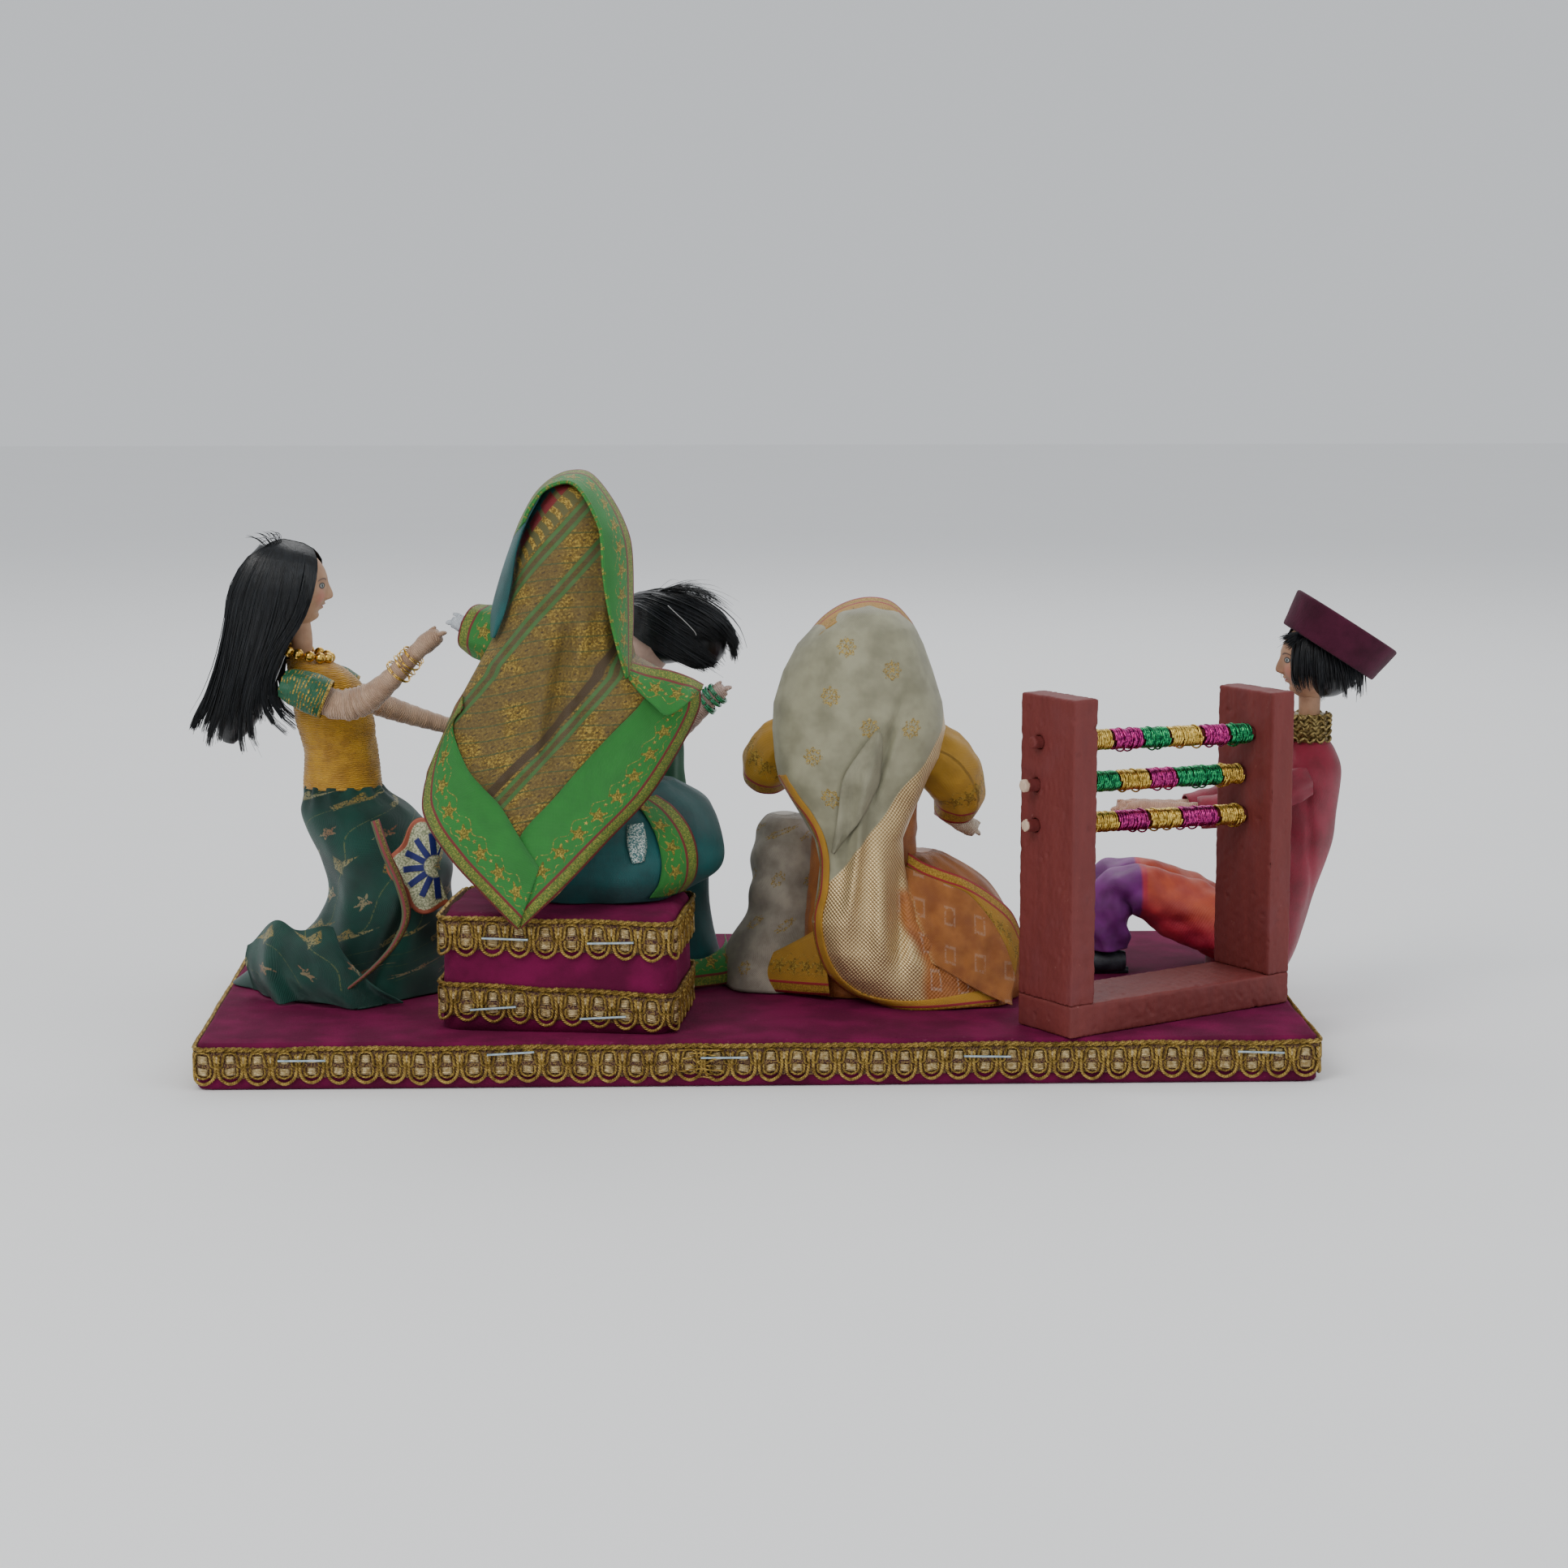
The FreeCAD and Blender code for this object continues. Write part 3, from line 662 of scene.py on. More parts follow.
def make_lace_end(on_board, lace):
    """The cut end of the board's lace, lapped over its start on the near side and fraying."""
    chooser = random.Random(21)
    parts = []
    for k in range(9):
        up = 1.5 + k * 1.1
        reach = chooser.uniform(1.5, 5.0)
        line = [on_board(0.6 + reach * t, up + chooser.uniform(-0.5, 0.5) * t, 1.2 + 0.5 * math.sin(t * 3))
                for t in np.linspace(-1.5, 1.0, 7)]
        parts.append(tube(line, 0.16 + 0.1 * chooser.random(), 5))
    points, faces = gather(parts)
    piece("base_lace_frayed_end", points, faces, lace[0], "tableau", "gold_lace",
          [(i * 0.05, 0.0) for i in range(len(points))])


def dress_node(node, material):
    """Gives a plain CAD node that stays in view a procedural finish."""
    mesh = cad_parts[node].data
    mesh.materials.clear()
    mesh.materials.append(material)


# Bangle stand ------------------------------------------------------------------------------------

RODS = {
    "top": {"start": (75.907, -62.490, 92.100), "axis": (0.878647, 0.476004, -0.037413),
            "coils": [("gold", 8.7, 23.3), ("magenta", 23.3, 33.2), ("green", 33.2, 42.7),
                      ("gold", 42.7, 54.2), ("magenta", 54.2, 63.3), ("green", 63.3, 71.3)]},
    "middle": {"start": (75.255, -61.482, 80.200), "axis": (0.862334, 0.504951, -0.037489),
               "coils": [("green", 8.7, 27.2), ("gold", 27.2, 37.7), ("magenta", 37.7, 47.2),
                         ("green", 47.2, 63.2), ("gold", 63.2, 71.3)]},
    "bottom": {"start": (75.201, -61.398, 69.100), "axis": (0.869744, 0.491626, -0.042999),
               "coils": [("gold", 8.7, 26.6), ("magenta", 26.6, 37.6), ("gold", 37.6, 48.7),
                         ("magenta", 48.7, 62.0), ("gold", 62.0, 71.3)]},
}


def rough_cut(name, node, body, material, seed, wear=0.35):
    """A dense copy of a sawn wooden part with softened, chipped edges."""
    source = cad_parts[node]
    mesh = source.data.copy()
    mesh.name = name
    thing = bpy.data.objects.new(name, mesh)
    bpy.context.scene.collection.objects.link(thing)
    mesh.materials.clear()
    mesh.materials.append(material)
    remesh = thing.modifiers.new("dense", "REMESH")
    remesh.mode = "VOXEL"
    remesh.voxel_size = 0.55 * MM
    bpy.context.view_layer.update()
    dense = bpy.data.meshes.new_from_object(thing.evaluated_get(bpy.context.evaluated_depsgraph_get()))
    thing.modifiers.clear()
    thing.data = dense
    points = np.empty(len(dense.vertices) * 3)
    dense.vertices.foreach_get("co", points)
    points = points.reshape(-1, 3) / MM
    shift = soft_noise(points, 5.0, seed) * 0.07 + soft_noise(points, 1.7, seed + 1) * 0.05
    bite = np.clip(soft_noise(points, 3.0, seed + 2) - 0.9, 0, 1) * wear
    away = np.empty(len(dense.vertices) * 3)
    dense.vertices.foreach_get("normal", away)
    points += away.reshape(-1, 3) * (shift - bite)[:, None]
    dense.vertices.foreach_set("co", (points * MM).ravel())
    dense.polygons.foreach_set("use_smooth", [True] * len(dense.polygons))
    dense.materials.clear()
    dense.materials.append(material)
    dense.update()
    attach(thing, body)
    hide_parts(node)
    return thing


def make_coil(name, node, body, slot, material, start, axis, spans, seed):
    """Fine wire wound side by side round a dowel, uneven, with a stray turn or two."""
    chooser = random.Random(seed)
    side = np.cross(axis, (0.0, 0.0, 1.0))
    side /= np.linalg.norm(side)
    other = np.cross(side, axis)
    parts = []
    for low, high in spans:
        turns = int((high - low - 0.5) / 0.62)
        line = []
        steps = 18
        radii = [2.55 + chooser.uniform(-0.12, 0.22) for _ in range(turns + 2)]
        tips = [(chooser.uniform(-0.16, 0.16), chooser.uniform(-0.16, 0.16)) for _ in range(turns + 2)]
        for i in range(turns * steps + 1):
            turn, k, part = i / steps * 2 * math.pi, i // steps, (i % steps) / steps
            r = radii[k] * (1 - part) + radii[k + 1] * part
            lean = (tips[k][0] * (1 - part) + tips[k + 1][0] * part) * math.sin(turn) * 1.6
            along = low + 0.45 + i / steps * 0.62 + lean
            line.append(start + axis * along + side * (r * math.cos(turn)) + other * (r * math.sin(turn)))
        parts.append(tube(np.array(line), 0.34, 5))
        for _ in range(2):
            at = chooser.uniform(low + 1.2, high - 1.2)
            wide = chooser.uniform(3.0, 3.3)
            lean = chooser.uniform(-0.7, 0.7)
            turn = np.linspace(0, 2 * math.pi * 0.97, 26)
            loop = [start + axis * (at + lean * math.sin(t)) + side * wide * math.cos(t)
                    + other * (wide * math.sin(t) - 0.25) for t in turn]
            parts.append(tube(np.array(loop), 0.26, 5))
    points, faces = gather(parts)
    thing = piece(name, points, faces, material, body, slot)
    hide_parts(node)
    return thing


def make_stand():
    paint = painted_wood_material("stand_paint")
    for node in ("stand_plank", "stand_left_upright", "stand_right_upright"):
        rough_cut(node + "_wood", node, "tableau", paint, seed=len(node))
    wires = {"gold": wire_material("gold_wire", (0.36, 0.22, 0.03), (0.86, 0.62, 0.16)),
             "magenta": wire_material("magenta_wire", (0.20, 0.008, 0.10), (0.66, 0.06, 0.30)),
             "green": wire_material("green_wire", (0.006, 0.11, 0.045), (0.05, 0.46, 0.17))}
    for level, rod in RODS.items():
        axis = np.array(rod["axis"])
        start = np.array(rod["start"])
        bare = painted_wood_material(f"dowel_paint_{level}", axis, float(start @ axis) - 2.4)
        rough_cut(f"rod_{level}_wood", f"rod_{level}", f"rod_{level}", bare,
                  seed=40 + len(level), wear=0.15)
        for colour in ("gold", "magenta", "green"):
            spans = [(a, b) for kind, a, b in rod["coils"] if kind == colour]
            if spans:
                make_coil(f"wire_{level}_{colour}", f"coils_{level}_{colour}", f"rod_{level}",
                          colour + "_wire", wires[colour], start, axis, spans, seed=hash_of(level + colour))


def hash_of(word):
    return sum((i + 3) * ord(letter) for i, letter in enumerate(word))


# Cloth surfaces ----------------------------------------------------------------------------------

def table_at(table, height):
    """Values of a table of (height, values...) at a height, straight between its rows."""
    table = sorted(table)
    heights = [row[0] for row in table]
    return [np.interp(height, heights, [row[i] for row in table]) for i in range(1, len(table[0]))]


def hanging_sheet(table, rows, columns, wrap=0.12, bow=2.2, relief=None, top=None, bottom=None):
    """A grid of points facing the camera. table rows: height, left x, right x, front y, edge y.
    Its cloth coordinates are x plus what the curve adds, and height."""
    top = max(row[0] for row in table) if top is None else top
    bottom = min(row[0] for row in table) if bottom is None else bottom
    heights = np.linspace(top, bottom, rows)
    grid = np.zeros((rows, columns, 3))
    for i, z in enumerate(heights):
        left, right, front, edge = table_at(table, z)
        t = np.linspace(-1, 1, columns)
        bend = np.clip(np.abs(t), 0, 1) ** bow
        x = (left + right) / 2 + (right - left) / 2 * np.sin(t * math.pi / 2 * (1 - wrap)) / math.sin(
            math.pi / 2 * (1 - wrap))
        grid[i, :, 0], grid[i, :, 1], grid[i, :, 2] = x, front + (edge - front) * bend, z
    if relief:
        grid[:, :, 1] += relief(grid[:, :, 0], grid[:, :, 2])
    walked = lengths(grid, 1)
    centre = walked[:, [columns // 2]]
    middle_x = grid[:, [columns // 2], 0]
    cloth = np.stack([middle_x + walked - centre, grid[:, :, 2]], axis=2)
    return grid, cloth


def sheet_piece(name, grid, cloth, material, body, slot, thickness=0.35):
    thing = piece(name, grid.reshape(-1, 3), grid_faces(*grid.shape[:2]), material, body, slot,
                  cloth.reshape(-1, 2))
    return thicken(thing, thickness, 0.0)


def front_y(grid, x, z):
    """How far forward a draped grid is at each (x, z)."""
    flat = grid.reshape(-1, 3)
    x, z = np.atleast_1d(x), np.atleast_1d(z)
    out = []
    for a, b in zip(x, z):
        far = (flat[:, 0] - a) ** 2 + (flat[:, 2] - b) ** 2
        near = np.argpartition(far, 6)[:6]
        weight = 1 / (far[near] + 0.05)
        out.append(float((flat[near, 1] * weight).sum() / weight.sum()))
    return np.array(out)


def laid_ribbon(name, outer, inner, material, body, slot, over=None, lift=0.5, count=90, across=9, puff=0.35,
                thickness=0.3):
    """A ribbon between two edges. Edge points are (x, z) on the grid `over`, or (x, y, z)."""
    edges = [spline(np.asarray(edge, float), count) for edge in (outer, inner)]
    t = np.linspace(0, 1, across)[None, :, None]
    grid = edges[0][:, None] * (1 - t) + edges[1][:, None] * t
    if grid.shape[2] == 2:
        y = front_y(over, grid[:, :, 0].ravel(), grid[:, :, 1].ravel()).reshape(count, across)
        padded = np.pad(y, ((3, 3), (0, 0)), mode="edge")
        y = sum(padded[i:i + count] for i in range(7)) / 7 - lift
        grid = np.stack([grid[:, :, 0], y, grid[:, :, 1]], axis=2)
    if puff:
        grid[:, :, 1] -= puff * np.sin(np.pi * np.linspace(0, 1, across))[None, :]
    middle_line = grid[:, across // 2]
    walked = np.concatenate([[0], np.cumsum(np.linalg.norm(np.diff(middle_line, axis=0), axis=1))])
    width = lengths(grid, 1)[:, -1]
    cloth = np.stack([np.repeat(walked[:, None], across, axis=1),
                      width[:, None] * np.linspace(0, 1, across)[None, :]], axis=2)
    thing = sheet_piece(name, grid, cloth, material, body, slot, thickness)
    return thing, grid


def tube_cloth(name, levels, material, body, slot, rings=60, sides=72, relief=None):
    """A closed garment through rings (x, y, z, rx, ry) with its own folds."""
    levels = np.asarray(levels, float)
    flow = spline(levels, rings)
    turn = np.linspace(0, 2 * math.pi, sides, endpoint=False)
    grid = np.zeros((rings, sides, 3))
    grid[:, :, 0] = flow[:, [0]] + flow[:, [3]] * np.cos(turn)
    grid[:, :, 1] = flow[:, [1]] + flow[:, [4]] * np.sin(turn)
    grid[:, :, 2] = flow[:, [2]]
    if relief is not None:
        out = grid - np.stack([flow[:, 0], flow[:, 1], flow[:, 2]], axis=1)[:, None]
        out /= np.maximum(np.linalg.norm(out, axis=2, keepdims=True), 1e-6)
        grid += out * relief(grid, np.linspace(0, 1, rings)[:, None], turn[None, :])[:, :, None]
    girth = (flow[:, [3]] + flow[:, [4]]) / 2 * turn[None, :]
    run = np.concatenate([[0], np.cumsum(np.linalg.norm(np.diff(flow[:, :3], axis=0), axis=1))])
    cloth = np.stack([girth, np.repeat(run[:, None], sides, axis=1)], axis=2)
    faces = grid_faces(rings, sides, closed=True)
    faces.append(tuple(range(sides - 1, -1, -1)))
    faces.append(tuple(range((rings - 1) * sides, rings * sides)))
    thing = piece(name, grid.reshape(-1, 3), faces, material, body, slot, cloth.reshape(-1, 2))
    return thing, grid


# Cloth materials ---------------------------------------------------------------------------------

GOLD_DARK, GOLD_BRIGHT = (0.17, 0.10, 0.010), (0.58, 0.39, 0.065)
BORDER_GREEN, BORDER_RED = (0.012, 0.19, 0.020), (0.17, 0.010, 0.010)


def gold_thread(paint, size=0.5):
    # Painted highlight: fine noise mixes the gold from dark to bright, standing in for glints of light on the
    # metal thread.
    painted_glint = paint.step(paint.noise(size, detail=2.0), 0.40, 0.66)
    return paint.mix(painted_glint, GOLD_DARK, GOLD_BRIGHT)


def leaf(paint, along, across, size):
    """1 inside a palmate leaf of about that radius at the origin of along and across."""
    angle = paint.math("ARCTAN2", across, along)
    reach = paint.math("SQRT", along * along + across * across)
    lobes = paint.math("COSINE", angle * 5.0) * 0.26 + paint.math("COSINE", angle * 10.0) * 0.1 + 0.72
    return paint.step(reach / lobes, size - 0.12, size + 0.12, 1.0, 0.0)


def border_material(name, field, green=BORDER_GREEN, red=BORDER_RED, strip_first=0.7, strip_end=3.4,
                    pitch=7.0):
    """A woven border: red, gold and red lines, then a coloured field with gold leaves centred at field."""
    paint = Paint(name)
    along, across = paint.cloth()
    thread = paint.weave(0.42)
    gold = gold_thread(paint)
    ground = paint.shade(green, paint.noise(6.0) * 0.5 + 0.75)
    motif = leaf(paint, paint.cell(along, pitch), across - field, 2.3)
    hatch = paint.step(paint.wave(along + across, 0.55), -0.5, 0.1)
    motif = motif * (hatch * 0.55 + 0.45)
    sprig = paint.bar(across - paint.wave(along, pitch) * 0.9, field + 2.6, 0.26)
    sprig = sprig | paint.bar(across - paint.wave(along + 1.2, pitch / 2) * 0.4, field - 2.3, 0.24)
    sprig = sprig * paint.step(paint.noise(0.8), 0.42, 0.5)
    dots = leaf(paint, paint.cell(along, pitch, 0.5), across - field - 0.8, 0.55)
    colour = paint.mix((motif | sprig * 0.8) | dots, ground, gold)
    braid = paint.step(paint.wave(along + across * 1.5, 1.1) * paint.wave(along - across * 1.5, 0.9), -0.2,
                       0.35)
    strip = paint.mix(braid * 0.7 + 0.15, ground, gold)
    colour = paint.mix(paint.step(across, strip_end - 0.08, strip_end + 0.08, 1.0, 0.0), colour, strip)
    red_line = paint.bar(across, strip_first / 2 - 0.1, strip_first) | paint.bar(across, strip_end + 0.3,
                                                                                 0.75)
    colour = paint.mix(red_line, colour, red)
    shine = (motif | braid * paint.step(across, strip_end - 0.1, strip_end, 1.0, 0.0)) * 0.55
    return paint.finish(colour, roughness=0.48, metallic=shine, bump=thread + motif * 1.5 + red_line,
                        depth_mm=0.07, Sheen_Weight=0.04)


def pallu_material():
    paint = Paint("pallu_brown_gold")
    u, v = paint.cloth()
    slant = u * 0.731 - v * 0.683
    run = u * 0.683 + v * 0.731
    level = v - u * 0.12 + paint.wave(u, 45.0) * 0.8
    gold = gold_thread(paint, 0.6)
    brown = paint.mix(paint.step(paint.noise(12.0), 0.35, 0.7), (0.085, 0.050, 0.006), (0.14, 0.085, 0.009))
    lattice = paint.bar(paint.cell(slant, 2.1), 0.0, 0.3, 0.1) | paint.bar(paint.cell(level, 2.0), 0.0, 0.26,
                                                                           0.1)
    patches = paint.step(paint.noise(9.0, detail=2.0), 0.45, 0.62)
    colour = paint.mix(patches * 0.5 + 0.22, brown, gold)
    colour = paint.mix(lattice * 0.45, colour, (0.085, 0.058, 0.014))
    dot = paint.step(abs(paint.cell(slant, 2.1, 0.5)) + abs(paint.cell(level, 2.0, 0.5)), 0.28, 0.42, 1.0,
                     0.0)
    colour = paint.mix(dot * 0.8, colour, (0.035, 0.022, 0.008))
    thin = paint.bar(paint.cell(level, 4.0), 0.0, 0.34, 0.12)
    colour = paint.mix(thin * 0.8, colour, (0.05, 0.085, 0.022))
    green = paint.shade((0.055, 0.15, 0.035), paint.noise(4.0) * 0.6 + 0.7)
    for place in (-140.2, -130.1, -103.0):
        band = paint.bar(slant, place, 3.6, 0.2)
        colour = paint.mix(band * 0.85, colour, (0.085, 0.058, 0.018))
        colour = paint.mix(paint.bar(slant, place - 1.15, 1.0, 0.12) | paint.bar(slant, place + 1.15, 1.0,
                                                                                 0.12), colour, green)
    colour = paint.mix(paint.bar(slant, -106.6, 2.4, 0.2), colour, (0.060, 0.034, 0.010))
    head_end = paint.step(slant, -142.8, -142.4, 1.0, 0.0)
    colour = paint.mix(head_end, colour, (0.105, 0.10, 0.030))
    tooth = paint.bar(paint.cell(run, 3.7, 0.1) + abs(slant + 144.6) * 0.25, 0.0, 1.7, 0.15)
    tooth = tooth * paint.bar(slant, -144.8, 4.0, 0.15)
    colour = paint.mix(tooth, colour, gold)
    teal = paint.shade((0.0, 0.10, 0.10), paint.noise(5.0) * 0.4 + 0.8)
    colour = paint.mix(paint.step(slant, -149.2, -148.9, 1.0, 0.0), colour, teal)
    stepped = paint.bar(paint.cell(run, 6.7, 0.28), 0.0, 5.2, 0.1) * paint.bar(slant, -148.4, 3.2, 0.1)
    colour = paint.mix(stepped, colour, (0.20, 0.012, 0.018))
    return paint.finish(colour, roughness=0.46,
                        metallic=(patches * 0.35 + tooth * 0.3) * (1.0 - head_end * 0.6),
                        bump=paint.weave(0.46) + thin + lattice * 0.5, depth_mm=0.07, Sheen_Weight=0.04)


def silk_material(name, dark, light, thread_pitch=0.4, sheen=0.25, size=9.0, rough=0.5):
    """Plain woven silk or cotton, uneven in tone."""
    paint = Paint(name)
    tone = paint.step(paint.noise(size, detail=4.0), 0.3, 0.7)
    slub = paint.noise(1.3, detail=2.0, stretch=(1.0, 1.0, 0.2))
    colour = paint.mix(tone, dark, light)
    colour = paint.shade(colour, slub * 0.3 + 0.85)
    return paint.finish(colour, roughness=rough, bump=paint.weave(thread_pitch) + slub * 0.6, depth_mm=0.05,
                        Sheen_Weight=sheen, Sheen_Roughness=0.4)


def skin_material(name, dark, light, lips, brow):
    """Painted stockinet skin. The cloth coordinates are (arc from the nose line, height) on the head."""
    paint = Paint(name)
    side, height = paint.cloth()
    tone = paint.step(paint.noise(5.0, detail=4.0), 0.3, 0.7)
    colour = paint.mix(tone, dark, light)
    cheek = paint.step(abs(abs(side) - 4.6) + abs(height + 2.2), 0.5, 4.5, 0.5, 0.0)
    colour = paint.mix(cheek, colour, (0.62, 0.22, 0.17))
    eye_x, eye_y = abs(abs(side) - 3.7), height - 1.0
    lid = paint.math("SQRT", eye_x * eye_x * 0.30 + eye_y * eye_y)
    colour = paint.mix(paint.step(lid, 0.78, 1.0, 1.0, 0.0) * 0.95, colour, (0.035, 0.03, 0.03))
    colour = paint.mix(paint.step(lid, 0.46, 0.60, 1.0, 0.0), colour, (0.42, 0.44, 0.42))
    colour = paint.mix(paint.step(eye_x * eye_x + eye_y * eye_y, 0.16, 0.30, 1.0, 0.0), colour, (0.03, 0.045,
                                                                                                 0.04))
    arch = paint.bar(height - 3.0 + eye_x * eye_x * 0.12, 0.0, 0.42, 0.14) * paint.step(eye_x, 2.0, 2.5, 1.0,
                                                                                        0.0)
    colour = paint.mix(arch * 0.8, colour, brow)
    mouth = paint.step(abs(height + 4.9) * 1.9 + abs(side) * 0.75, 1.25, 1.6, 1.0, 0.0)
    colour = paint.mix(mouth * 0.9, colour, lips)
    front_only = paint.step(abs(side), 9.0, 11.0, 1.0, 0.0)
    plain = paint.mix(tone, dark, light)
    colour = paint.mix(front_only, plain, colour)
    return paint.finish(colour, roughness=0.62, bump=paint.noise(0.35, detail=2.0) + tone * 0.3,
                        depth_mm=0.05, Subsurface_Weight=0.12, Subsurface_Radius=(0.0012, 0.0005, 0.0003),
                        Subsurface_Scale=1.0)


# Doll parts --------------------------------------------------------------------------------------

def thread_material(name, dark, light, metallic=0.0):
    """Floss wound round and round a limb or body, with shade painted into the grooves between the windings.
    """
    paint = Paint(name)
    along = paint.cloth()[1]
    strand = paint.wave(along + paint.noise(3.0) * 1.6, 0.55)
    tone = paint.step(paint.noise(4.0, detail=4.0), 0.3, 0.7)
    # Painted shade: the colour is darkened in the grooves between the windings and lifted a little on their
    # crests, following the strand height.
    colour = paint.shade(paint.mix(tone, dark, light), strand * 0.10 + 0.95)
    fuzz = paint.noise(0.3, detail=2.0)
    return paint.finish(colour, roughness=0.58, metallic=metallic, bump=strand + fuzz * 0.8, depth_mm=0.09,
                        Sheen_Weight=0.3, Sheen_Roughness=0.45)


def silver_material():
    paint = Paint("silver_motif")
    stitch = paint.step(paint.noise(0.45, detail=1.0), 0.42, 0.58)
    colour = paint.mix(stitch, (0.03, 0.13, 0.13), (0.50, 0.55, 0.50))
    return paint.finish(colour, roughness=0.4, metallic=stitch * 0.6, bump=stitch, depth_mm=0.1)


def wound_relief(size):
    """Low rings and dips of wound thread or pulled cloth."""
    return lambda points, along, turn: (soft_noise(points, 5.0, 5) * size * 1.5
                                        + np.sin(along * 90 + np.sin(turn) * 1.5) * size * 0.5)


def make_head(name, node, body, slot, material, centre, facing):
    """A painted doll's head on its neck. facing is its direction in degrees, 0 along +X."""
    rings, sides = 110, 150
    rows, cloth = [], []
    for i in range(rings + 1):
        lift = math.pi * (i / rings - 0.5)
        height = math.sin(lift)
        for j in range(sides):
            turn = 2 * math.pi * j / sides - math.pi
            slim = 1.0 - 0.24 * max(-height, 0.0) ** 1.3 * (1.0 + 0.25 * math.cos(turn))
            r = 8.75 * math.cos(lift) * slim
            forward, side, up = r * math.cos(turn), r * math.sin(turn), 11.4 * height
            front = max(math.cos(turn), 0.0)

            def bump(at_side, at_up, wide, tall, out, mirrored=False):
                across = (abs(side) if mirrored else side) - at_side
                return out * math.exp(-(across / wide) ** 2 - ((up - at_up) / tall) ** 2) * (front > 0.05)

            nose_up = 1.0 / (1.0 + math.exp(-(up + 3.3) / 0.22)) * math.exp(-((up + 2.9) / 3.3) ** 2)
            push = 2.1 * nose_up * math.exp(-(side / (0.75 + 0.25 * nose_up)) ** 2) * (front > 0.3)
            push += bump(1.0, -2.9, 0.55, 0.6, 0.55, True) + bump(0, -4.5, 1.7, 0.42, 0.75) + bump(0, -5.6,
                                                                                                   1.5, 0.5,
                                                                                                   0.7)
            push += bump(0, -5.05, 2.1, 0.22, -0.30) + bump(0, -8.4, 2.6, 1.5, 1.15) + bump(0, -6.8, 2.2, 0.7,
                                                                                            -0.35)
            push += bump(3.6, 1.0, 1.9, 1.5, -0.75, True) + bump(3.6, 1.0, 1.1, 0.75, 0.45, True)
            push += bump(4.6, -2.6, 2.4, 2.2, 0.45, True) + bump(3.4, 3.1, 2.6, 0.8, 0.30, True)
            push += bump(0, 5.0, 4.0, 3.0, 0.35)
            forward += push
            rows.append((forward, side, up))
            cloth.append((turn * 8.75, up))
    rows = np.array(rows)
    turn = math.radians(facing)
    points = np.stack([centre[0] + rows[:, 0] * math.cos(turn) - rows[:, 1] * math.sin(turn),
                       centre[1] + rows[:, 0] * math.sin(turn) + rows[:, 1] * math.cos(turn),
                       centre[2] + rows[:, 2]], axis=1)
    faces = grid_faces(rings + 1, sides, closed=True)
    ahead = 1.0 if name.startswith("girl") else 0.0
    neck = tube(spline([(centre[0] + ahead, centre[1], centre[2] - 19.6),
                        (centre[0] + ahead, centre[1], centre[2] - 14),
                        (centre[0], centre[1], centre[2] - 7.5)], 14),
                np.linspace(3.0, 3.3, 14), 24)
    points, faces = gather([(points, faces), neck])
    cloth += [(30.0, 0.0)] * len(neck[0])
    thing = piece(name, points, faces, material, body, slot, cloth)
    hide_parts(node)
    return thing


def make_arm(name, node, points, material, body, slot, hand=False, ridges=()):
    """A thread-wound arm with raised windings, ending in a mitten hand with a thumb."""
    points = np.array(points, float)
    flow = spline(points, 110)
    path, radius = flow[:, :3], flow[:, 3].copy()
    run = np.concatenate([[0], np.cumsum(np.linalg.norm(np.diff(path, axis=0), axis=1))])
    for at, high in ridges:
        radius += high * np.exp(-((run - at) / 0.55) ** 2)
    radius += 0.05 * np.sin(run * 9.0) + 0.08 * np.sin(run * 1.7 + 1.0)
    limb_points, faces = tube(path, radius, 28)
    cloth = [(i % 28 * 0.5, run[i // 28]) for i in range(len(limb_points))]
    parts = [(limb_points, faces)]
    if hand:
        tip = path[-1]
        ahead = path[-1] - path[-8]
        ahead /= np.linalg.norm(ahead)
        up = np.array((0.0, 0.0, 1.0)) - ahead * ahead[2]
        up /= np.linalg.norm(up)
        side = np.cross(ahead, up)
        for sway, reach in ((-0.9, 3.0), (-0.3, 3.7), (0.35, 3.6), (0.95, 2.9)):
            start = tip - ahead * 1.6 + side * sway * 0.9
            line = spline([start, start + ahead * reach * 0.6 + side * sway * 0.15,
                           start + ahead * reach - up * 0.5 + side * sway * 0.2], 9)
            parts.append(tube(line, np.array([0.8, 0.82, 0.8, 0.76, 0.72, 0.68, 0.62, 0.52, 0.3]), 10))
        thumb = spline([tip - ahead * 3.0 + up * 1.2, tip - ahead * 1.4 + up * 2.2,
                        tip + ahead * 0.2 + up * 2.4], 8)
        parts.append(tube(thumb, np.linspace(0.9, 0.4, 8), 10))
        for part in parts[1:]:
            cloth += [(i * 0.05, i // 10 * 0.4) for i in range(len(part[0]))]
    points, faces = gather(parts)
    thing = piece(name, points, faces, material, body, slot, cloth)
    if node:
        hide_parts(node)
    return thing


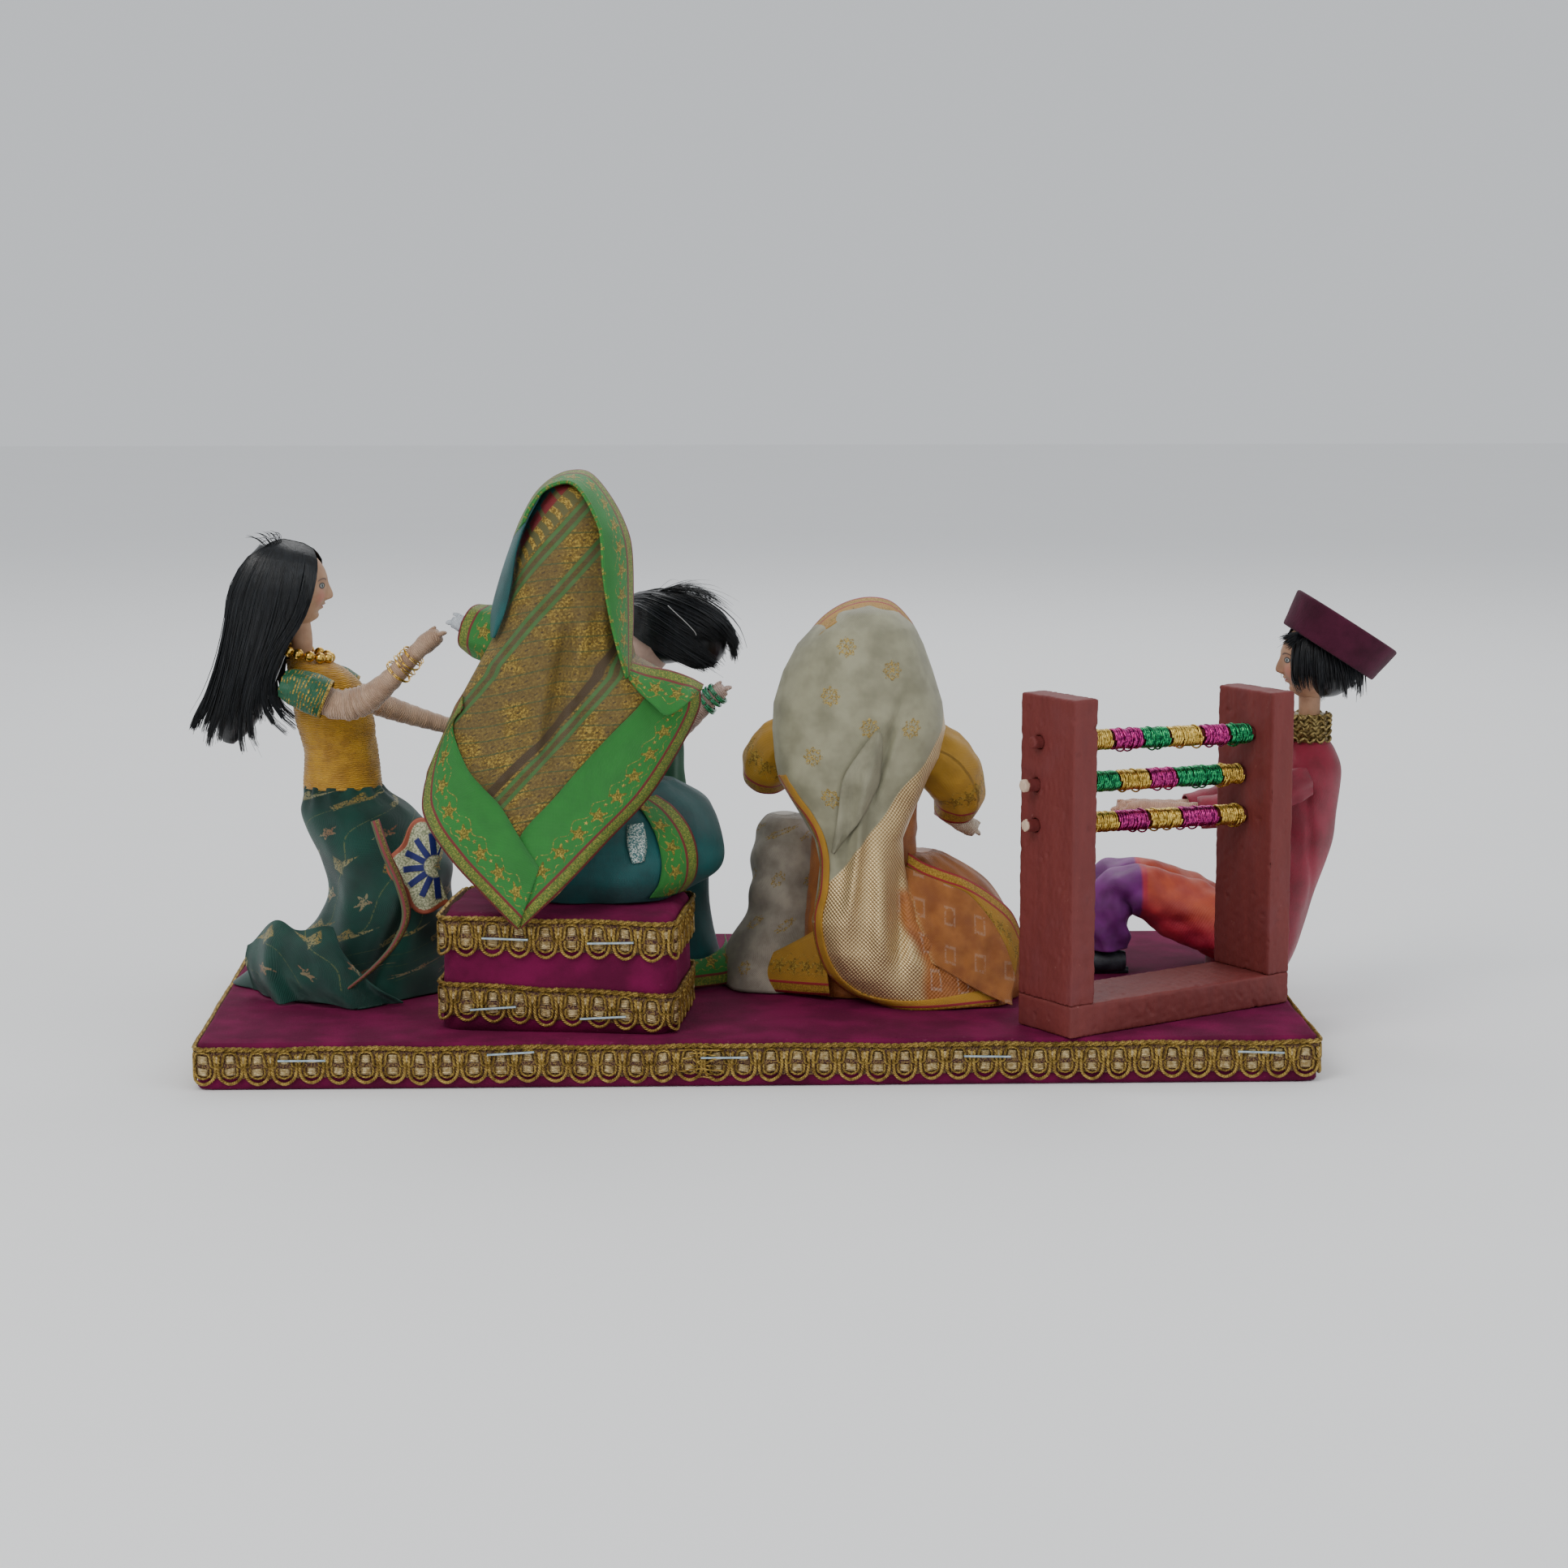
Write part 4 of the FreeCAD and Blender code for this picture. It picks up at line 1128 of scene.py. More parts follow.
def make_sleeve(name, node, points, material, body, slot, from_hem=False, puckers=9):
    """A puffed sleeve. Its cloth coordinates run round it, and along it from the hem."""
    flow = spline(np.array(points, float), 46)
    path, radius = flow[:, :3], flow[:, 3]
    sides = 72
    raw, faces = tube(path, radius, sides, capped=False)
    grid = raw.reshape(46, sides, 3)
    out = grid - path[:, None]
    out /= np.linalg.norm(out, axis=2, keepdims=True)
    turn = np.arange(sides) * 2 * math.pi / sides
    along = np.linspace(0, 1, 46)[:, None]
    pucker = 0.28 * np.sin(turn * puckers + 2.5 * along) * (1 - along) ** 0.7 + soft_noise(grid, 6.0,
                                                                                           7) * 0.22
    grid = grid + out * pucker[:, :, None]
    run = np.concatenate([[0], np.cumsum(np.linalg.norm(np.diff(path, axis=0), axis=1))])
    if from_hem:
        run = run[-1] - run
    cloth = np.stack([np.repeat(turn[None, :] * radius.mean(), 46, axis=0), np.repeat(run[:, None], sides,
                                                                                      axis=1)], axis=2)
    thing = piece(name, grid.reshape(-1, 3), faces, material, body, slot, cloth.reshape(-1, 2))
    thicken(thing, 0.45, -1.0)
    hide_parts(node)
    return thing


def hair_material(name="black_floss"):
    paint = Paint(name)
    streak = paint.noise(1.1, detail=3.0, stretch=(1.0, 1.0, 0.08))
    colour = paint.mix(paint.step(streak, 0.35, 0.7), (0.0015, 0.0022, 0.003), (0.007, 0.009, 0.012))
    return paint.finish(colour, roughness=paint.noise(2.0) * 0.15 + 0.26, bump=streak, depth_mm=0.12,
                        Specular_IOR_Level=0.45)


def strands(name, node, guides, count, material, body, slot, seed, spread=1.0, radius=0.13, inner=None,
            steps=16, stray=0.06, locks=2, tight=0.0, ragged=0.1):
    """Hair drawn between guide curves: each guide is a list of (x, y, z); strands mix two neighbours.
    tight draws each lock together towards its tip, and ragged is how much shorter strands may be cut."""
    chooser = random.Random(seed)
    curves = [spline(guide, steps) for guide in guides]
    parts = []
    for _ in range(count):
        k = chooser.randrange(len(curves) - 1)
        mix = chooser.random()
        grow = np.linspace(0, 1, steps)[:, None]
        lock = math.floor(mix * locks)
        pulled = mix + ((lock + 0.5) / locks - mix) * tight * grow ** 2
        line = curves[k] * (1 - pulled) + curves[k + 1] * pulled
        lock_cut = 0.5 + 0.5 * math.sin(seed + k * 2.3 + lock * 4.1)
        reach = 1.0 - ragged * (0.45 * lock_cut + 0.55 * chooser.random())
        loose = spread * (2.4 if chooser.random() < stray else 1.0)
        sway = np.array([chooser.gauss(0, 1) for _ in range(3)]) * loose * 0.55
        kink = np.array([chooser.gauss(0, 1) for _ in range(3)]) * loose * 0.22
        strand_bend = kink * np.sin(grow * chooser.uniform(2, 5) + chooser.uniform(0, 6)) * grow
        line = line + sway * grow ** 1.3 + strand_bend
        keep = max(int(steps * reach), 4)
        line = line[:keep]
        wide = radius * chooser.uniform(0.7, 1.5) * np.clip((1.03 - np.linspace(0, 1, keep)) * 3.2, 0.25, 1)
        parts.append(tube(line, wide, 3, capped=False))
    if inner:
        parts += inner
    points, faces = gather(parts)
    thing = piece(name, points, faces, material, body, slot)
    if node:
        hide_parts(node)
    return thing


def dressed_hair(name, centre, body, seed):
    """Floss combed from a centre parting to the nape, on a head that faces +Y."""
    skull = np.array((9.0, 9.0, 11.6)) * 1.07
    hair = hair_material(name + "_floss")
    for side, word in ((-1, "left"), (1, "right")):
        guides = []
        for k in range(5):
            lift = math.radians(52 + 24 * k)
            parting = np.array((0.06 * side, math.cos(lift), math.sin(lift)))
            temple = np.array((side * 1.0, 0.42 - 0.22 * k, 0.18))
            nape = np.array((side * 0.30, -0.85, -0.55))
            ways = [parting, parting * 0.6 + temple * 0.5, temple, temple * 0.5 + nape * 0.6, nape]
            guides.append([tuple(np.array(centre) + skull * way / np.linalg.norm(way)) for way in ways])
        strands(f"{name}_{word}", None, guides, 520, hair, body, "black_floss", seed + side, spread=0.35,
                steps=12, radius=0.17, stray=0.03)


def beads(places, radius, flat=1.0):
    return gather([egg(place, (radius, radius, radius * flat), 10, 14) for place in places])


def bead_material(name="gold_bead"):
    paint = Paint(name)
    tone = paint.step(paint.noise(1.2), 0.3, 0.7)
    return paint.finish(paint.mix(tone, (0.50, 0.27, 0.04), (0.85, 0.58, 0.15)),
                        roughness=paint.noise(0.9) * 0.12 + 0.16, metallic=0.95)


def wire_loops(name, node, loops, material, body, slot, seed, wire=0.30):
    """Loose bangles: each (centre, direction, radius), a little out of round."""
    chooser = random.Random(seed)
    parts = []
    for centre, direction, size in loops:
        direction = np.array(direction, float)
        direction /= np.linalg.norm(direction)
        side = np.cross(direction, (0.0, 0.0, 1.0))
        side /= np.linalg.norm(side)
        other = np.cross(side, direction)
        for turn_of in range(2):
            lean = chooser.uniform(-0.5, 0.5)
            turn = np.linspace(0, 2 * math.pi * 0.985, 44)
            wave = 1 + 0.03 * np.sin(turn * 2 + chooser.uniform(0, 6))
            line = [np.array(centre) + side * size * w * math.cos(t) + other * size * w * math.sin(t)
                    + direction * (lean * math.sin(t) + turn_of * 0.5) for t, w in zip(turn, wave)]
            parts.append(tube(np.array(line), wire, 6))
    points, faces = gather(parts)
    thing = piece(name, points, faces, material, body, slot)
    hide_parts(node)
    return thing


# Seated woman ------------------------------------------------------------------------------------

# Height, left x, right x, front y, edge y of the cloth that hangs over the head and back.
LADY_DRAPE = [
    (163.2, -51.5, -49.5, -41.0, -40.0), (160.5, -57.5, -43.0, -47.5, -39.5),
    (156.0, -61.0, -39.5, -51.5, -38.0),
    (150.0, -64.0, -36.5, -53.8, -37.0), (142.0, -67.0, -35.2, -55.0, -37.0),
    (134.0, -69.0, -35.0, -55.6, -38.0),
    (121.0, -71.3, -35.2, -55.8, -41.0), (114.0, -75.0, -33.5, -56.2, -44.0),
    (109.0, -77.8, -24.0, -56.6, -46.0),
    (104.5, -80.3, -16.5, -57.0, -47.5), (101.0, -82.6, -15.8, -57.4, -48.5),
    (90.0, -87.4, -20.9, -58.2, -50.0),
    (83.0, -90.4, -25.5, -58.8, -51.5), (76.0, -91.3, -30.0, -59.8, -53.5),
    (69.5, -89.8, -36.8, -61.2, -56.5),
    (60.4, -83.2, -46.0, -63.4, -60.5), (51.3, -74.6, -54.6, -65.0, -63.8),
    (42.2, -66.0, -65.0, -65.8, -65.8)]


def lady_folds(x, z):
    """How far the cloth sinks (+) or stands out (-) at each place."""
    def hollow(at_x, width, low, high, deep):
        window = 1 / (1 + np.exp(-(z - low) / 3)) / (1 + np.exp((z - high) / 3))
        return deep * window * np.exp(-((x - at_x) / width) ** 2)
    crease = -52.4 - (118.0 - z) * 0.19
    total = hollow(crease, 2.0, 88, 122, 2.6) - hollow(crease + 4.4, 2.6, 92, 124, 1.5)
    total += hollow(crease - 7.5, 3.2, 80, 112, 0.8) - hollow(-41.0 - (140 - z) * 0.02, 2.0, 112, 146, 1.1)
    total += hollow(-70.0 - (90 - z) * 0.35, 4.0, 62, 92, 0.9) - hollow(-30.0 - (100 - z) * 0.6, 4.0, 70, 98,
                                                                        0.7)
    return total


def make_lady():
    body = "tableau"
    skin = skin_material("lady_skin", (0.50, 0.34, 0.30), (0.62, 0.44, 0.38), (0.40, 0.05, 0.06),
                         (0.08, 0.05, 0.04))
    teal = silk_material("teal_silk", (0.0, 0.050, 0.050), (0.0, 0.098, 0.096), sheen=0.05, size=14.0,
                         rough=0.42)
    border = border_material("pallu_border", 7.7)
    rim_border = border_material("hood_border", 6.6, strip_first=0.6, strip_end=2.9, pitch=6.2)

    make_head("lady_face", "lady_head", body, "tan_skin", skin, (-50.5, -37.0, 149.5), 90)
    dressed_hair("lady_hair", (-50.5, -37.0, 149.5), body, 71)
    torso, _ = tube_cloth("lady_blouse", [(-50, -34, 60, 12, 9), (-50, -36, 72, 13, 10), (-50.5, -36.5, 98,
                                                                                          13, 9), (-50.5, -37,
                                                                                                   118, 13.5,
                                                                                                   6.8),
                                          (-50.5, -37, 126, 8, 5.5), (-50.5, -37, 130.5, 3.4, 3.4)], border,
                          body, "green_brocade", relief=wound_relief(0.12))
    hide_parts("lady_torso")

    grid, cloth = hanging_sheet(LADY_DRAPE, 150, 110, wrap=0.10, bow=2.6, relief=lady_folds)
    grid[:, :, 1] += soft_noise(grid, 16.0, 4) * 0.35
    pallu = sheet_piece("lady_pallu_cloth", grid, cloth, pallu_material(), body, "pallu_brocade")
    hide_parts("lady_pallu")

    right_outer = [(-15.6, 104.6), (-16.2, 99.5), (-20.9, 90.0), (-29.8, 76.3), (-41.0, 65.1), (-52.2, 53.8),
                   (-64.6, 42.2)]
    right_inner = [(-31.0, 103.6), (-33.5, 100.6), (-38.9, 95.3), (-47.2, 86.6), (-55.8, 76.8), (-64.9, 66.6),
                   (-66.2, 55.0)]
    left_outer = [(-80.6, 104.0), (-88.5, 87.5), (-91.6, 76.2), (-90.1, 69.5), (-83.6, 60.4), (-74.8, 51.3),
                  (-65.6, 42.0)]
    left_inner = [(-80.2, 101.0), (-83.1, 95.6), (-79.4, 85.8), (-75.2, 80.2), (-69.9, 74.7), (-64.9, 66.8),
                  (-59.6, 58.6)]
    right_band, right_grid = laid_ribbon("lady_pallu_right_border", right_outer, right_inner, border, body,
                                         "pallu_brocade", over=grid, lift=0.5)
    left_band, left_grid = laid_ribbon("lady_pallu_left_border", left_outer, left_inner, border, body,
                                       "pallu_brocade", over=grid, lift=1.1)
    flap_top = [(-36.0, 113.4, -50.5), (-30.0, 111.9, -52.0), (-24.0, 110.9, -52.5), (-18.5, 108.8, -51.5),
                (-14.8, 106.6, -50.0)]
    flap_foot = [(-35.2, 109.0, -56.6), (-32.6, 106.0, -58.9), (-28.6, 102.4, -59.9), (-24.9, 99.6, -60.4),
                 (-19.6, 102.6, -59.8), (-15.6, 105.2, -52.0)]
    flap, flap_grid = laid_ribbon("lady_pallu_flap", [(x, y, z) for x, z, y in flap_top],
                          [(x, y, z) for x, z, y in flap_foot], rim_border, body, "pallu_brocade", count=60,
                          across=14, puff=1.0)
    rim_outer = [(-66.6, -40.5, 146.0), (-64.3, -39.5, 151.5), (-60.4, -38.5, 158.2), (-55.6, -38.0, 162.4),
                 (-50.6, -37.5, 164.2), (-45.6, -37.5, 163.5), (-40.6, -40.5, 158.2), (-36.3, -43.5, 150.6),
                 (-34.2, -45.0, 142.5), (-34.0, -46.5, 126.0), (-34.4, -48.5, 115.0), (-34.6, -52.0, 110.6)]
    rim_inner = [(-63.2, -52.5, 151.4), (-61.6, -52.6, 155.0), (-58.0, -51.6, 159.7), (-53.4, -49.8, 161.7),
                 (-49.8, -50.4, 161.4), (-46.8, -53.0, 158.4), (-43.9, -56.0, 153.2), (-42.2, -57.6, 148.0),
                 (-41.6, -58.4, 138.0), (-40.2, -58.6, 128.0), (-38.0, -58.2, 118.0), (-35.6, -56.8, 109.4)]
    rim, rim_grid = laid_ribbon("lady_hood_rim", rim_outer, rim_inner, rim_border, body, "pallu_brocade",
                                count=120, across=16, puff=1.5, thickness=0.5)
    roll = tube(spline([(x, y + 0.4, z) for x, y, z in rim_inner], 120), 0.55, 10)
    roll_cloth = [(i // 10 * 0.9, 4.6 + i % 10 * 0.05) for i in range(len(roll[0]))]
    piece("lady_hood_rim_fold", *roll, rim_border, body, "pallu_brocade", roll_cloth)
    fold_outer = [(-60.5, -40.0, 157.0), (-64.8, -41.0, 150.0), (-67.6, -42.0, 143.0), (-70.6, -43.0, 134.0),
                  (-72.6, -44.5, 126.0), (-72.8, -46.0, 119.5)]
    fold_inner = [(-58.6, -50.5, 158.6), (-62.8, -52.2, 151.0), (-65.4, -51.6, 143.4), (-66.9, -51.2, 134.0),
                  (-68.6, -50.8, 127.0), (-71.6, -49.5, 119.8)]
    laid_ribbon("lady_teal_fold", fold_outer, fold_inner, teal, body, "teal_silk", count=60, across=14,
        puff=2.0, thickness=0.5)
    declare(pallu, grid)
    for band, band_grid in ((right_band, right_grid), (left_band, left_grid), (flap, flap_grid), (rim,
                                                                                                  rim_grid)):
        declare(band, band_grid)

    sleeve = [(-61.5, -37, 114.8, 5.0), (-66, -35, 116.6, 7.2), (-70.5, -33, 117.9, 8.0), (-75, -30.6, 118.9,
                                                                                           7.8), (-79, -28.4,
                                                                                                  120.2, 6.8)]
    make_sleeve("lady_sleeve", "lady_left_sleeve", sleeve, border_material("lady_sleeve_cloth", 8.4), body,
                "green_brocade", from_hem=True)
    make_arm("lady_wrist", "lady_left_arm", [(-66, -34, 116, 3.4), (-72, -31.5, 117.5, 3.2), (-77, -29, 119.5,
                                                                                              2.6), (-80.5,
                                                                                                     -27,
                                                                                                     120.6,
                                                                                                     2.7),
                                             (-84.4, -25, 121.2, 1.6)], thread_material("pale_blue_thread",
                                                                                        (0.44, 0.48, 0.52),
                                                                                        (0.62, 0.66, 0.70)),
             body, "tan_skin", hand=True)
    make_arm("lady_far_arm", "lady_right_arm", [(-40, -28, 108, 4.2), (-34, -14, 98, 4.0), (-34, -4, 92, 3.0),
                                                (-38, 3, 90, 2.6), (-43, 8, 89, 1.4)],
             thread_material("lady_arm_thread", (0.50, 0.34, 0.30), (0.62, 0.44, 0.38)), body, "tan_skin",
             hand=True)
    make_lady_sari(teal, border)


def make_lady_sari(teal, border):
    body = "tableau"

    def creases(points, along, turn):
        folds = 0.9 * np.sin(turn * 3 + along * 5 + 1.0) + 0.5 * np.sin(turn * 7 - along * 9)
        return folds * (0.35 + 0.65 * along)

    lap, lap_grid = tube_cloth("lady_sari_lap", [(-44, -26, 45.3, 24, 22), (-42, -25, 52, 31.5, 25.5), (-41,
                                                                                                        -24,
                                                                                                        61,
                                                                                                        31.5,
                                                                                                        25),
                                                 (-38, -22, 70, 25, 19), (-36, -20, 76, 13, 9)], teal, body,
                               "teal_silk", relief=lambda p, a,
                               t: 0.8 * np.sin(t * 5 + a * 7) * (1 - a) + 0.35 * np.sin(t * 11 + 4))
    skirt, _ = tube_cloth("lady_sari_drape", [(-44, 1, 63, 26, 9), (-44, 2, 54, 30, 11), (-43, 6, 36, 30, 12),
                                              (-40.5, 6, 22, 31, 13.5), (-38.5, 6, 12.7, 33, 15)], teal, body,
                          "teal_silk", relief=creases)
    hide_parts("lady_sari")
    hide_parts("lady_sari")
    outer = [(-28.0, 73.5), (-23.0, 70.5), (-18.6, 65.0), (-16.6, 58.0), (-17.2, 51.5), (-20.0, 46.6)]
    inner = [(-34.5, 72.5), (-31.0, 69.0), (-28.0, 63.5), (-26.6, 57.0), (-27.4, 51.0), (-30.0, 46.6)]
    near_lap = lap_grid[:, lap_grid.shape[1] // 2:]
    laid_ribbon("lady_sari_knee_band", outer, inner, border, body, "green_brocade", over=near_lap, lift=0.7,
                count=50, across=12, puff=0.3)
    silver = silver_material()
    laid_ribbon("lady_sari_silver_motif", [(-31.6, 67.5), (-30.6, 62.0), (-31.4, 57.5)], [(-36.0, 67.0),
                                                                                          (-36.0, 62.0),
                                                                                          (-34.6, 57.2)],
                silver, body, "teal_silk", over=near_lap, lift=0.6, count=20, across=8, puff=0.2)
    hem_outer = [(-22.0, -13.0, 13.4), (-14.0, -9.0, 13.3), (-6.6, -4.5, 13.5), (-4.4, 2.5, 15.0), (-6.0, 8.0,
                                                                                                    17.0)]
    hem_inner = [(-21.0, -9.5, 21.5), (-15.0, -6.5, 21.0), (-10.0, -2.5, 23.0), (-8.4, 3.0, 24.0), (-8.4, 8.5,
                                                                                                    25.0)]
    laid_ribbon("lady_sari_hem", hem_outer, hem_inner, border, body, "green_brocade", count=50, across=12,
                puff=1.4)


# Older woman -------------------------------------------------------------------------------------

ELDER_DRAPE = [
    (125.2, 31.5, 33.5, -17.5, -15.0), (123.0, 23.5, 40.5, -24.5, -14.5), (118.5, 17.0, 45.2, -30.0, -13.5),
    (113.3, 12.2, 47.8, -32.0, -13.5), (106.0, 8.2, 50.4, -33.4, -14.5), (97.2, 5.4, 53.0, -34.5, -17.0),
    (90.0, 5.0, 53.8, -35.4, -19.0), (82.0, 5.6, 51.8, -35.8, -21.5), (76.4, 6.6, 48.6, -36.0, -23.5),
    (67.1, 12.4, 44.2, -36.6, -27.0), (60.0, 16.6, 41.2, -36.8, -29.0), (53.1, 18.1, 41.6, -37.0, -30.0),
    (45.0, 17.2, 43.0, -37.4, -30.5), (36.8, 15.8, 46.5, -38.0, -30.0), (28.0, 17.4, 55.0, -38.6, -29.0),
    (21.0, 20.3, 66.5, -38.6, -27.0), (16.0, 25.5, 72.0, -38.5, -26.0), (12.9, 33.6, 73.0, -38.4, -27.0)]


def elder_folds(x, z):
    def ridge(at_x, width, low, high, out):
        window = 1 / (1 + np.exp(-(z - low) / 2.5)) / (1 + np.exp((z - high) / 2.5))
        return -out * window * np.exp(-((x - at_x) / width) ** 2)
    total = ridge(37.0 + (z - 88) * 0.30, 1.3, 71, 96, -1.6) + ridge(33.6 + (z - 88) * 0.30, 2.2, 68, 94, 1.6)
    total += ridge(26.0 - (70 - z) * 0.10, 2.0, 54, 76, -2.6) + ridge(29.5 - (70 - z) * 0.12, 1.8, 40, 74,
                                                                      2.0)
    total += ridge(40.0 - (z - 36) * 0.02, 2.3, 27, 52, -3.4) + ridge(34.6, 2.6, 24, 58, 1.8)
    total += ridge(46.0 + (30 - z) * 0.9, 3.0, 16, 32, -1.8) + ridge(16.5, 3.4, 84, 112, -0.5)
    total += ridge(46.0, 2.6, 62, 92, 0.9) + ridge(24.0, 2.6, 20, 40, 0.8) + ridge(57.0, 3.0, 16, 26, 1.0)
    return total


def elder_cloth_material():
    """Cream silk with gold flowers, then a coarse gold tissue, then orange silk."""
    paint = Paint("elder_cream_tissue_orange")
    u, v = paint.cloth()
    tone = paint.step(paint.noise(9.0, detail=3.0), 0.3, 0.7)
    cream = paint.mix(tone, (0.21, 0.20, 0.125), (0.33, 0.315, 0.205))
    gold = gold_thread(paint, 0.35)
    petals = 0.0
    for at_u, at_v in ((25.2, 114.5), (38.0, 108.0), (20.5, 101.0), (31.5, 92.2), (44.8, 91.8), (15.6, 84.0),
                       (32.8, 79.6), (19.0, 72.5)):
        x, y = u - at_u, v - at_v
        reach = paint.math("SQRT", x * x + y * y)
        lobes = paint.math("COSINE", paint.math("ARCTAN2", y, x) * 8.0) * 0.42 + 0.72
        flower = paint.step(abs(reach - 1.9) / lobes, 0.75, 1.0, 1.0, 0.0) | paint.step(reach, 0.8, 1.0, 1.0,
                                                                                        0.0)
        petals = flower if petals == 0.0 else petals | flower
    petals = petals * paint.step(paint.noise(0.5, detail=1.0), 0.40, 0.5)
    colour = paint.mix(petals * 0.85, cream, gold)
    edge = v - 60.6 - (u - 30.0) * 1.05
    tissue_here = paint.step(edge, -0.5, 0.5, 1.0, 0.0)
    basket = paint.wave(u, 1.15) * paint.wave(v, 1.15)
    tissue = paint.mix(paint.step(basket, -0.5, 0.6), (0.36, 0.24, 0.10), (0.82, 0.62, 0.33))
    colour = paint.mix(tissue_here, colour, tissue)
    orange_edge = u - 47.0 - paint.wave(v, 23.0) * 1.2 + (v - 24.0) * 0.15
    orange_here = paint.step(orange_edge, -2.2, 1.6) * paint.step(v, 44.0, 48.0, 1.0, 0.0)
    orange = paint.mix(tone, (0.27, 0.08, 0.014), (0.42, 0.15, 0.03))
    colour = paint.mix(orange_here, colour, orange)
    silver_x, silver_y = paint.cell(u, 8.0, 0.2), paint.cell(v + u * 0.2, 10.0, 0.4)
    frame_shape = paint.bar(abs(silver_x) | abs(silver_y) * 0.55, 1.35, 0.5,
                            0.15) * paint.step(paint.noise(0.7), 0.4, 0.5)
    colour = paint.mix(frame_shape * orange_here * 0.28, colour, (0.60, 0.56, 0.47))
    shine = tissue_here * (1.0 - orange_here) * 0.62
    height = paint.weave(0.42) * (1.0 - tissue_here) * 0.4 + basket * tissue_here + petals
    return paint.finish(colour, roughness=0.5 - shine * 0.28, metallic=shine, bump=height, depth_mm=0.10,
                        Sheen_Weight=0.08)


def make_elder():
    body = "tableau"
    yellow = border_material("elder_yellow_border", 8.2, green=(0.42, 0.21, 0.012), red=(0.34, 0.012, 0.02),
                             strip_first=0.8, strip_end=3.0, pitch=5.0)
    sleeve_cloth = border_material("elder_sleeve_cloth", 9.6, green=(0.46, 0.24, 0.015), red=(0.36, 0.014,
                                                                                              0.03),
                                   strip_first=0.9, strip_end=4.0, pitch=4.4)
    orange = silk_material("orange_silk", (0.26, 0.075, 0.014), (0.40, 0.135, 0.026), sheen=0.05, size=8.0,
                           rough=0.4)
    cream = silk_material("cream_silk", (0.20, 0.19, 0.125), (0.31, 0.295, 0.20), sheen=0.05, size=7.0)
    skin = skin_material("elder_skin", (0.52, 0.35, 0.27), (0.64, 0.45, 0.35), (0.36, 0.06, 0.06),
                         (0.18, 0.17, 0.16))
    make_head("elder_face", "elder_head", body, "pale_skin", skin, (33.0, -14.0, 112.0), 90)
    dressed_hair("elder_hair", (33.0, -14.0, 112.0), body, 81)
    blouse, _ = tube_cloth("elder_blouse", [(31, -11, 13, 18, 14), (31, -12, 45, 15.5, 11.5), (32, -14, 78,
                                                                                               14, 9.3), (33,
                                                                                                          -14,
                                                                                                          88,
                                                                                                          8,
                                                                                                          6),
                                            (33, -14, 92.6, 3.6, 3.6)], orange, body, "orange_brocade",
                           relief=wound_relief(0.15))
    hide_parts("elder_torso")
    grid, cloth = hanging_sheet(ELDER_DRAPE, 170, 120, wrap=0.10, bow=2.4, relief=elder_folds)
    grid[:, :, 1] += soft_noise(grid, 13.0, 9) * 0.4
    pallu = sheet_piece("elder_pallu_cloth", grid, cloth, elder_cloth_material(), body, "cream_silk")
    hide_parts("elder_pallu")

    rim_outer = [(12.6, -12.5, 111.0), (15.8, -12.5, 117.0), (20.5, -12.5, 122.0), (26.5, -12.5, 125.4),
                 (33.0, -12.5, 126.6), (39.0, -12.5, 125.2), (44.2, -12.5, 120.0), (47.6, -12.5, 113.5),
                 (49.2, -12.5, 107.0)]
    rim_inner = [(11.6, -18.0, 107.0), (15.0, -22.0, 113.5), (20.0, -24.0, 118.8), (26.4, -23.5, 122.2),
                 (33.0, -23.0, 123.4), (39.0, -23.0, 121.6), (43.4, -22.0, 117.0), (46.4, -20.0, 111.5),
                 (48.6, -18.0, 106.0)]
    laid_ribbon("elder_hood_border", rim_outer, rim_inner, yellow, body, "orange_brocade", count=90,
         across=14, puff=0.8)
    left_edge = [(6.2, 77.5), (9.8, 71.5), (13.6, 66.6), (16.6, 61.0), (18.0, 54.5), (17.6, 46.0), (16.0,
                                                                                                    38.0),
                 (17.0, 29.0), (20.6, 20.6), (26.5, 15.2), (34.0, 12.8), (44.0, 12.4), (56.0, 13.0), (68.0,
                                                                                                      13.6)]
    inner_edge = [(8.2, 78.4), (12.0, 72.6), (15.8, 67.6), (18.8, 61.8), (20.3, 54.8), (19.9, 46.0), (18.4,
                                                                                                      38.4),
                  (19.3, 30.2), (22.6, 22.6), (28.0, 17.6), (34.6, 15.6), (44.2, 15.4), (56.0, 16.6), (68.0,
                                                                                                       18.0)]
    laid_ribbon("elder_pallu_border", left_edge, inner_edge,
         border_material("elder_narrow_border", 9.0, green=(0.48, 0.24, 0.015),
                         red=(0.36, 0.014, 0.03), strip_first=0.2, strip_end=0.9),
         body, "orange_brocade", over=grid, lift=0.5, count=130, across=7, puff=0.3)
    laid_ribbon("elder_tuck_flap", [(33.2, 91.8), (28.6, 85.6), (24.0, 78.2), (22.6, 68.0), (20.9, 57.5)],
                [(34.8, 91.0), (34.9, 84.0), (33.8, 76.0), (28.6, 66.5), (21.6, 57.0)], cream, body,
                "cream_silk", over=grid, lift=1.3, count=60, across=14, puff=1.1)
    declare(pallu, grid)

